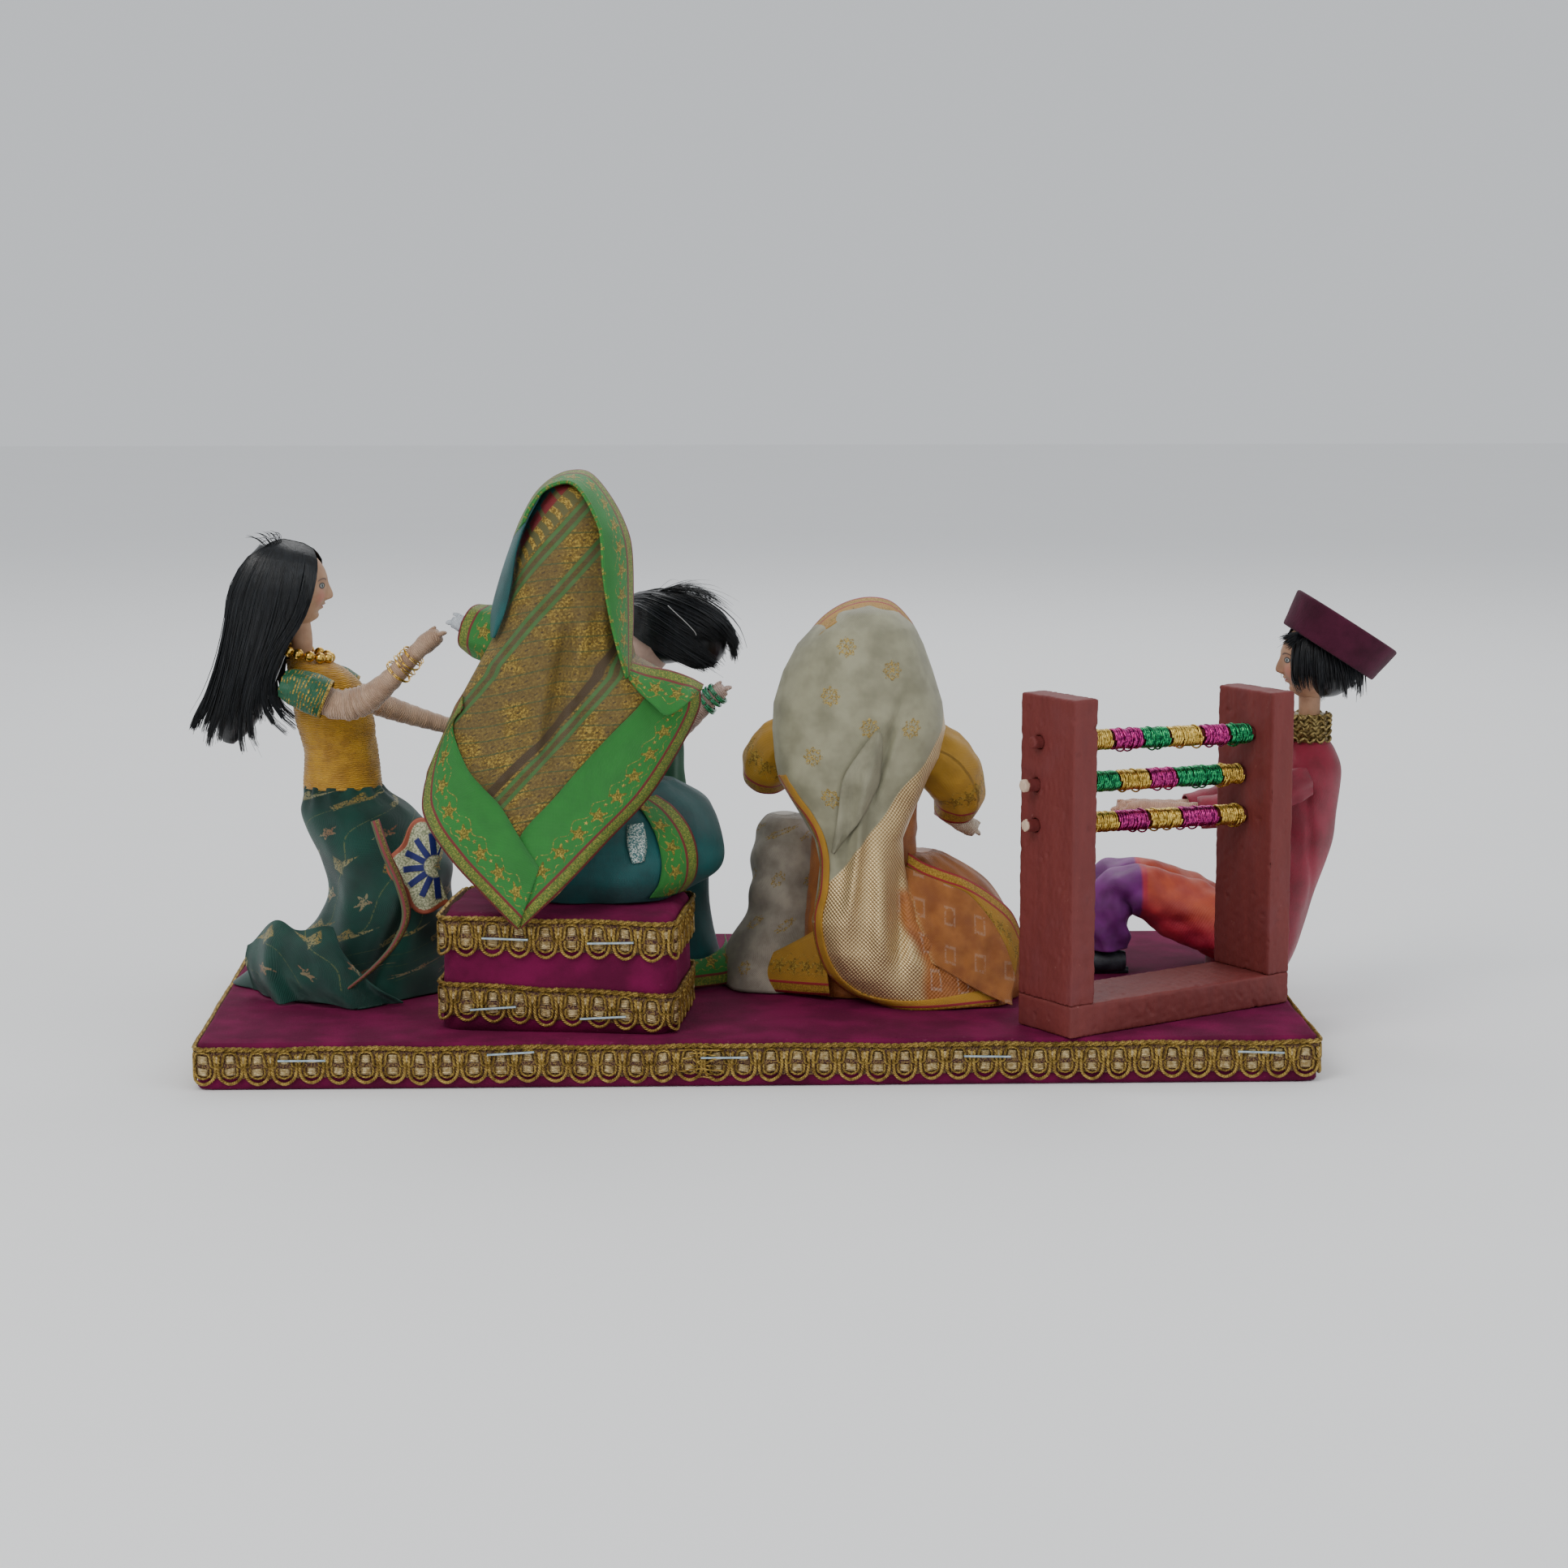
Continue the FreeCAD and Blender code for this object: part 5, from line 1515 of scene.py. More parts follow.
    lap, _ = tube_cloth("elder_lap", [(47, -11, 53.5, 4, 4), (47.5, -11.5, 52.0, 8, 8),
                                      (52, -12, 44, 15.2, 14),
                                      (56, -13, 30, 19, 18), (57, -14, 18, 20, 20.5),
                                      (56, -14, 12.8, 20, 21)],
                        orange, body, "orange_brocade",
                        relief=lambda p, a, t: 0.6 * np.sin(t * 5 + a * 4) * a + 0.3 * np.sin(t * 12))
    knee, _ = tube_cloth("elder_knee", [(9, 4, 62.0, 3, 3.5), (9.2, 4, 60.5, 6.4, 7), (9.8, 4, 54, 9.6, 10.5),
                                        (9.4, 3, 44, 10.4, 12), (9.2, 2, 34, 11.3, 13.5), (5.4, 1, 22, 13.6,
                                                                                           15.5), (3.8, 0,
                                                                                                   12.8, 13.4,
                                                                                                   16.5)],
                         elder_knee_material(), body, "cream_silk", relief=lambda p, a,
                         t: (0.55 * np.sin(a * 34 + 1.6 * np.sin(t * 2)) * np.exp(-((a - 0.5) / 0.28) ** 2)
                             + 0.5 * np.sin(t * 6 + a * 9) * a))
    front, _ = tube_cloth("elder_front", [(28, 6, 47, 16, 8), (28, 7, 42, 22, 12), (28, 10, 28, 26, 16),
                                          (28, 11, 12.8, 28, 18)], cream, body, "cream_silk",
                          relief=lambda p, a, t: 0.8 * np.sin(t * 8 + a * 3) * a)
    for thing in (lap, knee, front):
        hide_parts("elder_sari")
    top_outer = [(43.2, -24.5, 55.0), (47.5, -26.0, 52.5), (53.0, -27.5, 50.5), (59.0, -28.5, 48.4),
                 (66.0, -27.0, 44.0), (72.5, -24.0, 38.0), (76.0, -21.0, 31.0)]
    top_inner = [(42.6, -26.5, 51.5), (47.2, -28.0, 49.2), (53.0, -29.6, 47.0), (59.2, -31.2, 44.5),
                 (65.0, -32.2, 38.5), (70.0, -32.8, 30.0), (73.0, -33.0, 20.0)]
    laid_ribbon("elder_lap_border", top_outer, top_inner, yellow, body, "orange_brocade", count=60,
                across=12, puff=0.7)
    fill_rows = [[(41.5, -27.0, 52.0), (47.0, -28.2, 49.5), (53.0, -29.8, 47.2), (59.2, -31.4, 44.7),
                  (65.0, -32.4, 38.7), (70.0, -33.0, 30.2), (73.4, -33.0, 20.0)],
                 [(41.0, -31.5, 42.0), (45.0, -32.6, 39.5), (51.0, -33.8, 37.0), (57.0, -34.8, 34.0),
                  (62.0, -35.6, 28.0), (67.0, -35.8, 22.0), (72.0, -35.8, 16.0)],
                 [(42.0, -34.0, 30.0), (46.0, -35.2, 27.0), (51.0, -36.2, 24.5), (57.0, -36.8, 21.0),
                  (62.0, -37.4, 18.0), (67.0, -37.4, 15.5), (72.0, -37.2, 13.4)]]
    fill_grid = surface(fill_rows, 60, 60)
    fill_grid[:, :, 1] += soft_noise(fill_grid, 8.0, 31) * 0.5
    fill = sheet_piece("elder_lap_silk", fill_grid, fill_grid[:, :, [0, 2]], elder_orange_material(), body,
                       "orange_brocade")
    declare(fill, fill_grid)

    hem_outer = [(-10.0, 2.0, 19.5), (-9.2, -3.0, 13.6), (-4.0, -9.0, 13.0), (4.0, -15.0, 13.2), (13.0, -21.0,
                                                                                                  13.6),
                 (21.0, -27.0, 14.4)]
    hem_inner = [(-7.2, 3.0, 23.5), (-5.8, -4.5, 19.0), (0.0, -10.0, 21.0), (6.5, -14.5, 25.0),
                 (13.0, -19.5, 29.5),
                 (18.4, -25.5, 34.0)]
    floor_hem, floor_grid = laid_ribbon("elder_floor_hem", hem_outer, hem_inner, yellow, body,
                                        "orange_brocade", count=60, across=12, puff=1.0)
    declare(floor_hem, floor_grid)

    make_sleeve("elder_left_puff", "elder_left_sleeve", [(16, -10.5, 87.5, 6.0), (10.5, -7, 85.5, 7.4), (7,
                                                                                                         -3.5,
                                                                                                         82,
                                                                                                         8.0),
                                                         (4.5, -1, 77.5, 7.8), (4, 3, 72.5, 6.6)],
                sleeve_cloth, body, "orange_brocade", from_hem=True)
    make_sleeve("elder_right_puff", "elder_right_sleeve", [(46, -12, 84, 8), (51.5, -9, 81, 9), (56, -6.5, 76,
                                                                                                 9), (59,
                                                                                                      -3.5,
                                                                                                      70,
                                                                                                      8.0),
                                                           (58.5, 0.5, 63.0, 6.2)], sleeve_cloth, body,
                "orange_brocade", from_hem=True)
    make_arm("elder_hand", "elder_right_hand", [(55, 0.5, 64.5, 3.6), (59, 1.5, 60.6, 2.9), (62.5, 2.5, 58.2,
                                                                                             2.8), (64.6, 2.8,
                                                                                                    56.8,
                                                                                                    2.2)],
             thread_material("elder_hand_thread", (0.55, 0.42, 0.30), (0.70, 0.58, 0.44)), body, "pale_skin",
             hand=True)


def elder_knee_material():
    paint = Paint("elder_knee_silk")
    around, along = paint.cloth()
    tone = paint.step(paint.noise(6.0, detail=4.0), 0.3, 0.7)
    # Painted light: this cream is mixed lighter than the cream of the rest of the sari, to make up for the
    # shade that the knee sits in.
    cream = paint.mix(tone, (0.26, 0.225, 0.175), (0.42, 0.37, 0.29))
    x, y = paint.cell(around, 11.0), paint.cell(along, 13.0, 0.15)
    reach = paint.math("SQRT", x * x + y * y)
    lobes = paint.math("COSINE", paint.math("ARCTAN2", y, x) * 8.0) * 0.4 + 0.75
    flower = paint.step(abs(reach - 1.5) / lobes, 0.6, 0.9, 1.0, 0.0) * paint.step(paint.noise(0.5), 0.42,
                                                                                   0.52)
    colour = paint.mix(flower * 0.85, cream, gold_thread(paint, 0.35))
    return paint.finish(colour, roughness=0.52, bump=paint.weave(0.42) + flower, depth_mm=0.06,
                        Sheen_Weight=0.1)


def elder_orange_material():
    paint = Paint("elder_orange_brocade")
    u, v = paint.cloth()
    tone = paint.step(paint.noise(7.0, detail=3.0), 0.3, 0.7)
    orange = paint.mix(tone, (0.27, 0.08, 0.014), (0.42, 0.15, 0.03))
    motif_x, motif_y = paint.cell(u, 8.5, 0.1), paint.cell(v + u * 0.3, 10.5, 0.3)
    outline = paint.bar(abs(motif_x) | abs(motif_y) * 0.6, 1.3, 0.5, 0.15)
    outline = outline * paint.step(paint.noise(0.7), 0.38, 0.5)
    colour = paint.mix(outline * 0.28, orange, (0.50, 0.44, 0.34))
    tissue = paint.step(u + v * 0.35, 57.0, 60.0, 1.0, 0.0)
    basket = paint.wave(u, 1.15) * paint.wave(v, 1.15)
    colour = paint.mix(tissue * 0.9, colour, paint.mix(paint.step(basket, -0.5, 0.6), (0.40, 0.22, 0.07),
                                                       (0.85, 0.58, 0.26)))
    return paint.finish(colour, roughness=0.42, metallic=tissue * 0.5,
                        bump=paint.weave(0.42) + basket * tissue, depth_mm=0.08, Sheen_Weight=0.08)


def declare(thing, grid):
    """Measures a sheet's length and width along its own threads. Trim narrower than 10 mm isn't a sheet
    of its own. Nothing is done with the sizes.
    """
    long = float(lengths(grid, 0)[-1].mean()) * MM
    wide = float(lengths(grid, 1)[:, -1].mean()) * MM


# Girl --------------------------------------------------------------------------------------------

def girl_hair_guides():
    """Locks from the parting over the side of the head and down the back, from the face backwards."""
    guides = []
    for side in (-1, 1):
        s = side
        guides.append([[(-125.6, s * 1.0, 139.6), (-123.9, s * 5.6, 136.0), (-124.6, s * 9.4, 129.0),
                        (-127.4, s * 10.9, 121.0), (-133.0, s * 11.3, 112.0), (-136.0, s * 11.6, 103.0),
                        (-133.5, s * 12.8, 95.0), (-125.6, s * 13.6, 88.5)],
                       [(-128.4, s * 1.0, 141.2), (-127.0, s * 7.6, 137.4), (-127.9, s * 11.0, 129.0),
                        (-130.8, s * 12.2, 120.0), (-136.6, s * 12.0, 110.5), (-140.0, s * 12.2, 100.0),
                        (-138.6, s * 12.8, 92.0), (-131.0, s * 13.0, 85.0)],
                       [(-132.0, s * 1.0, 142.0), (-132.4, s * 8.4, 138.2), (-134.0, s * 12.2, 129.0),
                        (-136.6, s * 13.0, 119.0), (-140.4, s * 12.4, 108.0), (-143.6, s * 12.2, 97.0),
                        (-144.6, s * 11.6, 88.0), (-143.0, s * 11.0, 80.5)],
                       [(-134.0, s * 1.0, 142.4), (-136.4, s * 8.0, 139.2), (-140.0, s * 11.4, 129.0),
                        (-142.8, s * 11.6, 118.0), (-146.0, s * 11.2, 106.5), (-148.6, s * 10.8, 96.0),
                        (-150.6, s * 10.2, 87.0), (-151.0, s * 9.8, 79.6)],
                       [(-136.0, s * 0.8, 142.0), (-140.6, s * 6.2, 139.0), (-145.6, s * 8.4, 129.0),
                        (-148.2, s * 8.6, 118.0), (-150.4, s * 8.6, 106.5), (-153.4, s * 8.4, 96.0),
                        (-156.2, s * 7.8, 88.5), (-157.8, s * 7.2, 83.0)],
                       [(-137.4, s * 0.4, 141.4), (-144.2, s * 2.4, 137.0), (-149.2, s * 3.0, 128.0),
                        (-150.8, s * 3.2, 118.0), (-153.4, s * 3.4, 107.0), (-156.8, s * 3.4, 97.5),
                        (-160.0, s * 3.0, 91.0), (-161.6, s * 2.6, 86.5)]])
    return guides


def make_girl():
    skin = skin_material("girl_skin", (0.40, 0.225, 0.135), (0.52, 0.315, 0.195), (0.42, 0.06, 0.07),
                         (0.10, 0.07, 0.06))
    hair = hair_material()
    make_head("girl_face", "girl_head", "girl_head", "pale_skin", skin, (-130.5, 0.0, 128.5), 0)
    inner = [tube(spline([(-137.2, 0, 140.4), (-138.4, 0, 132), (-139.6, 0, 122), (-142.2, 0, 112), (-146.0,
                                                                                                     0, 100),
                          (-149.4, 0, 90), (-151.0, 0, 84)], 30), spline([(3.6, 0, 0), (9.0, 0, 0), (9.4, 0,
                                                                                                     0), (8.6,
                                                                                                          0,
                                                                                                          0),
                                                                          (7.4, 0, 0), (5.8, 0, 0), (1.6, 0,
                                                                                                     0)],
                                                                         30)[:, 0], 28)]
    near, far = girl_hair_guides()
    strands("girl_hair_near", "girl_hair", near, 1350, hair, "girl_head", "black_floss", 31, inner=inner,
            steps=18, radius=0.16, spread=0.8, tight=0.85, ragged=0.26)
    strands("girl_hair_far", "girl_hair", far, 800, hair, "girl_head", "black_floss", 32, steps=16,
            radius=0.17, tight=0.8, ragged=0.24)
    bridge = [near[5], far[5]]
    strands("girl_hair_back", "girl_hair", bridge, 260, hair, "girl_head", "black_floss", 33, steps=16,
            radius=0.17)
    wisps = [[(-139.0, -4, 141.0), (-141.6, -5, 143.0), (-144.4, -6, 143.6)],
             [(-134.0, -3, 142.0), (-134.6, -4, 144.2), (-137.0, -5, 145.0)]]
    strands("girl_hair_wisps", "girl_hair", wisps, 22, hair, "girl_head", "black_floss", 34, steps=8,
            radius=0.08, spread=1.6)
    bead = bead_material()
    points, faces = beads([(-129.5, s * 10.4, 124.5) for s in (-1, 1)], 1.05)
    earring = piece("girl_earring_beads", points, faces, bead, "girl_head", "gold_bead")
    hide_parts("girl_earrings")
    places = []
    for i in range(13):
        turn = 2 * math.pi * i / 13 + 0.12
        places.append((-128.2 + 6.7 * math.cos(turn), 6.7 * math.sin(turn), 109.9 - 1.5 * math.cos(turn)))
    points, faces = beads(places, 1.6)
    necklace = piece("girl_necklace_beads", points, faces, bead, "tableau", "gold_bead")
    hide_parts("girl_necklace")

    yellow = thread_material("yellow_floss", (0.36, 0.165, 0.003), (0.54, 0.275, 0.006))
    torso, _ = tube_cloth("girl_wound_torso", [(-118.5, 0, 71.0, 11.4, 8.4), (-118.6, 0, 76, 11.0, 8.3),
                                               (-119, 0, 82, 10.6, 8.2), (-120.6, 0, 91, 11.3, 8.9), (-122.8,
                                                                                                      0, 100,
                                                                                                      10.6,
                                                                                                      8.8),
                                               (-125.6, 0, 105.4, 8.2, 7.4), (-128.6, 0, 108.2, 5.2, 5.0),
                                               (-129.4, 0, 109.3, 3.6, 3.6)], yellow, "tableau",
                          "yellow_thread", rings=90, sides=96, relief=lambda p, a,
                          t: 0.10 * np.sin(a * 210 + 3 * np.sin(t * 2)) + soft_noise(p, 6, 3) * 0.18)
    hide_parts("girl_torso")

    pale = thread_material("pale_arm_floss", (0.40, 0.245, 0.155), (0.54, 0.355, 0.235))
    make_arm("girl_right_arm_wound", "girl_right_arm", [(-125.5, -13.4, 99.9, 3.9), (-118, -14.6, 96.8, 4.2),
                                                        (-110.5, -15.6, 98.2, 4.0), (-103, -17.8, 104, 3.1),
                                                        (-96, -20.4, 111.5, 2.4), (-91.5, -21.4, 115.6, 2.8),
                                                        (-88.6, -22.0, 117.4, 2.1)], pale, "girl_right_arm",
             "pale_skin", hand=True, ridges=((11.0, 0.5), (12.6, 0.55), (14.4, 0.45), (16.2, 0.5), (18.0,
                                                                                                    0.4),
                                             (7.0, 0.3)))
    make_arm("girl_left_arm_wound", "girl_left_arm", [(-118.5, 13.2, 97.4, 3.6), (-109, 17, 92.6, 3.5), (-100,
                                                                                                         21,
                                                                                                         88.8,
                                                                                                         3.0),
                                                      (-91, 24, 85.6, 2.5), (-86.5, 25.1, 84.1, 2.7), (-83.0,
                                                                                                       25.7,
                                                                                                       83.1,
                                                                                                       2.0)],
             pale, "girl_left_arm", "pale_skin", hand=True)
    cuff_cloth = cuff_material()
    cuffs = (("right", [(-133.6, -13.2, 102.6, 3.6), (-130, -13.8, 101.6, 5.0), (-126, -14.4, 100.2, 5.8),
                        (-121, -14.6, 98.2, 5.7)]), ("left", [(-130, 13.2, 101.8, 3.6), (-126, 13.8, 100.6,
                                                                                         5.0), (-121.5, 14.2,
                                                                                                99, 5.6),
                                                              (-116.4, 14.6, 96.6, 5.2)]))
    for side, line in cuffs:
        make_sleeve(f"girl_{side}_cuff_cloth", f"girl_{side}_cuff", line, cuff_cloth, f"girl_{side}_arm",
                    "green_brocade", from_hem=True, puckers=7)
    wire = wire_material("bangle_gold", (0.50, 0.28, 0.04), (0.90, 0.62, 0.18))
    wire_loops("girl_wire_bangles", "girl_bangles",
               [((-100.6, -18.7, 106.4), (7, -2.6, 7.5), 3.9), ((-99.0, -19.3, 108.2), (7, -1.2, 6.0), 3.7),
                ((-97.4, -19.9, 109.8), (6, -3.6, 7.5), 3.6), ((-96.2, -20.4, 111.2), (7, -2.0, 8.5), 3.4)],
               wire, "girl_right_arm", "bangle_wire", 3, wire=0.2)
    make_skirt()


def cuff_material():
    paint = Paint("girl_cuff_brocade")
    along = paint.cloth()[1]
    thread = paint.step(paint.wave(along + paint.noise(2.0), 0.9), -0.1, 0.5)
    patches = paint.step(paint.noise(2.2, detail=2.0), 0.46, 0.56)
    colour = paint.mix(patches * thread, (0.004, 0.085, 0.034), gold_thread(paint))
    colour = paint.mix(paint.bar(along, 0.4, 0.9), colour, gold_thread(paint))
    return paint.finish(colour, roughness=0.5, metallic=patches * thread * 0.5, bump=thread + patches,
                        depth_mm=0.12)


def skirt_material():
    paint = Paint("girl_skirt_brocade")
    around, along = paint.cloth()
    z = paint.axes()[2]
    tone = paint.step(paint.noise(12.0, detail=3.0), 0.3, 0.7)
    ground = paint.mix(tone, (0.003, 0.036, 0.027), (0.005, 0.070, 0.048))
    gold = gold_thread(paint)
    vine_x, vine_y = paint.cell(around + paint.wave(along, 26.0) * 2.0, 17.0), paint.cell(along, 21.0, 0.3)
    tilted = vine_x * 0.8 + vine_y * 0.6
    crossed = vine_y * 0.8 - vine_x * 0.6
    petal = paint.step(abs(tilted) * 0.36 + abs(crossed), 1.5, 1.9, 1.0, 0.0)
    petal = petal | paint.step(abs(tilted - 1.4) + abs(crossed + 2.4) * 0.4, 1.1, 1.5, 1.0, 0.0)
    second_x, second_y = paint.cell(around, 17.0, 0.5), paint.cell(along, 21.0, 0.8)
    flower = leaf(paint, second_x, second_y, 2.6)
    thread = paint.step(paint.noise(0.6, detail=1.0), 0.38, 0.5)
    stem = paint.bar(vine_x - paint.wave(along, 21.0) * 3.0, 0.0, 0.45, 0.15) * thread
    low = paint.step(z, 17.5, 18.5)
    colour = paint.mix(stem * 0.5 * low, ground, (0.20, 0.22, 0.06))
    colour = paint.mix(petal * thread * 0.85 * low, colour, paint.mix(tone, (0.36, 0.34, 0.18), gold))
    colour = paint.mix(flower * thread * 0.8 * low, colour, paint.mix(tone, (0.30, 0.10, 0.05), (0.45, 0.40,
                                                                                                 0.22)))
    shine = (petal | flower) * thread * 0.4
    return paint.finish(colour, roughness=0.42, metallic=shine * low, bump=paint.weave(0.44) + petal + flower,
                        depth_mm=0.08, Sheen_Weight=0.05)


def lotus_material():
    """A woven lotus: copper outline, silver gold field and navy petals fanned from its foot."""
    paint = Paint("girl_lotus")
    u, v = paint.cloth()
    x, y = u - 8.6, v - 14.0
    angle = paint.math("ARCTAN2", y, x * -1.0)
    reach = paint.math("SQRT", x * x + y * y)
    lobe = paint.math("COSINE", angle * 5.2) * 1.5 + 13.2
    field = paint.mix(paint.step(paint.noise(0.5, detail=1.0), 0.4, 0.6), (0.22, 0.25, 0.14), (0.56, 0.56,
                                                                                               0.36))
    colour = paint.mix(paint.step(lobe - reach, 1.2, 1.6, 1.0, 0.0), field, (0.34, 0.085, 0.045))
    petal_way = abs(paint.cell(angle + 0.35, 0.52)) * reach
    petal = paint.step(petal_way, 0.8, 1.05, 1.0, 0.0) * paint.bar(reach, 6.4, 6.4, 0.3)
    colour = paint.mix(petal, colour, (0.008, 0.014, 0.13))
    return paint.finish(colour, roughness=0.45, metallic=0.25, bump=paint.noise(0.5) + petal, depth_mm=0.1)


def make_skirt():
    body = "tableau"
    brocade = skirt_material()

    def folds(points, along, turn):
        x, z = points[:, :, 0], points[:, :, 2]
        near = np.clip(-np.sin(turn), 0, 1) ** 0.7
        sweep = 2.2 * np.exp(-((x + 103.0 - (z - 40) * 0.45) / 3.2) ** 2) * near * np.clip((66 - z) / 14, 0,
                                                                                           1)
        valley = -2.0 * np.exp(-((x + 97.5 - (z - 40) * 0.45) / 2.6) ** 2) * near * np.clip((66 - z) / 14, 0,
                                                                                            1)
        second = 1.8 * np.exp(-((x + 117.0 - (z - 30) * 0.10) / 3.0) ** 2) * near * np.clip((60 - z) / 20, 0,
                                                                                            1)
        gathers = 0.55 * np.sin(turn * 13 + along * 3) * np.exp(-((along - 0.05) / 0.16) ** 2)
        low = (1.5 * np.sin(turn * 6 + 1.0) + 0.9 * np.sin(turn * 11 + 2.0)) * along ** 2.5
        return sweep + valley + second + gathers + low + soft_noise(points, 11.0, 12) * 0.35

    skirt, _ = tube_cloth("girl_skirt_cloth", [(-118.4, 0, 71.8, 11.2, 8.4), (-117.6, 0.5, 69.0, 12.6, 10),
                                               (-114, 2, 63, 16.6, 14), (-107.4, 5, 50, 18.4, 20),
                                               (-106, 7, 38, 17.4, 22), (-109.0, 9, 27, 22.0, 26),
                                               (-114, 10, 19.0, 29.0, 31), (-117.5, 10.5, 12.8, 33.0, 35)],
                          brocade, body, "skirt_brocade", rings=130, sides=220, relief=folds)
    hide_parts("girl_skirt")
    tail_rows = [[(-120.0, -22.0, 34.0), (-126.0, -21.0, 33.0), (-131.0, -18.5, 33.5), (-136.5, -15.0, 34.2),
                  (-142.0, -11.0, 30.0), (-146.0, -8.0, 26.5)],
                 [(-116.0, -28.0, 26.0), (-124.0, -27.5, 27.0), (-131.0, -25.0, 27.5), (-138.0, -20.5, 28.0),
                  (-143.0, -15.5, 24.5), (-146.4, -11.0, 22.0)],
                 [(-108.0, -31.0, 18.0), (-119.0, -31.5, 19.5), (-129.0, -29.0, 20.0), (-137.5, -24.5, 21.5),
                  (-142.0, -18.5, 19.5), (-145.0, -13.5, 17.5)],
                 [(-100.0, -29.0, 13.2), (-113.0, -31.5, 13.3), (-124.0, -29.5, 13.3), (-133.5, -25.5, 13.6),
                  (-139.0, -19.0, 13.5), (-144.0, -13.0, 13.4)]]
    tail = surface(tail_rows, 80, 110)
    wave = np.linspace(0, 1, 110)[None, :]
    tail_ripple = 1.2 * np.sin(wave * 15 + 1.0) + 0.8 * np.sin(wave * 27)
    tail[:, :, 1] += tail_ripple * (0.35 + np.linspace(0, 1, 80)[:, None])
    tail[:, :, 2] += 0.8 * np.sin(wave * 12 + np.linspace(0, 3, 80)[:, None])
    tail[:, :, 2] = np.maximum(tail[:, :, 2], 13.0)
    tail_cloth = np.stack([lengths(tail, 1), lengths(tail, 0)], axis=2)
    tail_piece = sheet_piece("girl_skirt_tail", tail, tail_cloth, brocade, body, "skirt_brocade", 0.5)
    declare(tail_piece, tail)
    edge_material = border_material("girl_skirt_edge", 9.0, green=(0.10, 0.12, 0.05), red=(0.30, 0.05, 0.06),
                                    strip_first=0.5, strip_end=1.5)
    fold_line = [(-107.0, -15.0, 64.0), (-104.0, -19.0, 56.0), (-100.0, -21.0, 47.0), (-98.0, -22.4, 38.0),
                 (-101.0, -25.0, 30.5), (-107.0, -28.4, 24.0), (-114.0, -31.0, 18.5)]
    fold_under = [(x - 2.3, y - 1.0, z - 0.6) for x, y, z in fold_line]
    laid_ribbon("girl_skirt_fold_edge", fold_line, fold_under, edge_material, body, "skirt_brocade",
                count=90, across=8, puff=0.6)
    centre_u, centre_v = 8.6, 14.0
    ring_share = np.linspace(0.02, 1, 30)[None, :]
    spokes = np.linspace(-1.9, 1.9, 70)[:, None]
    reach = (13.2 + 1.4 * np.cos(spokes * 5.2)) * ring_share
    u = centre_u - reach * np.cos(spokes)
    v = centre_v + reach * np.sin(spokes)
    x = -91.0 + (u - centre_u) * 0.95
    z = 51.0 + (v - centre_v)
    y = -19.6 + 0.030 * (x + 96.0) ** 2 * (x > -96.0) * 0.7 + 0.006 * (z - 50) ** 2 + 0.4 * np.sin(u * 0.7)
    lotus = np.stack([x, y, z], axis=2)
    sheet = sheet_piece("girl_skirt_lotus", lotus, np.stack([u, v], axis=2), lotus_material(), body,
                        "skirt_brocade", 0.4)


# Companion ---------------------------------------------------------------------------------------

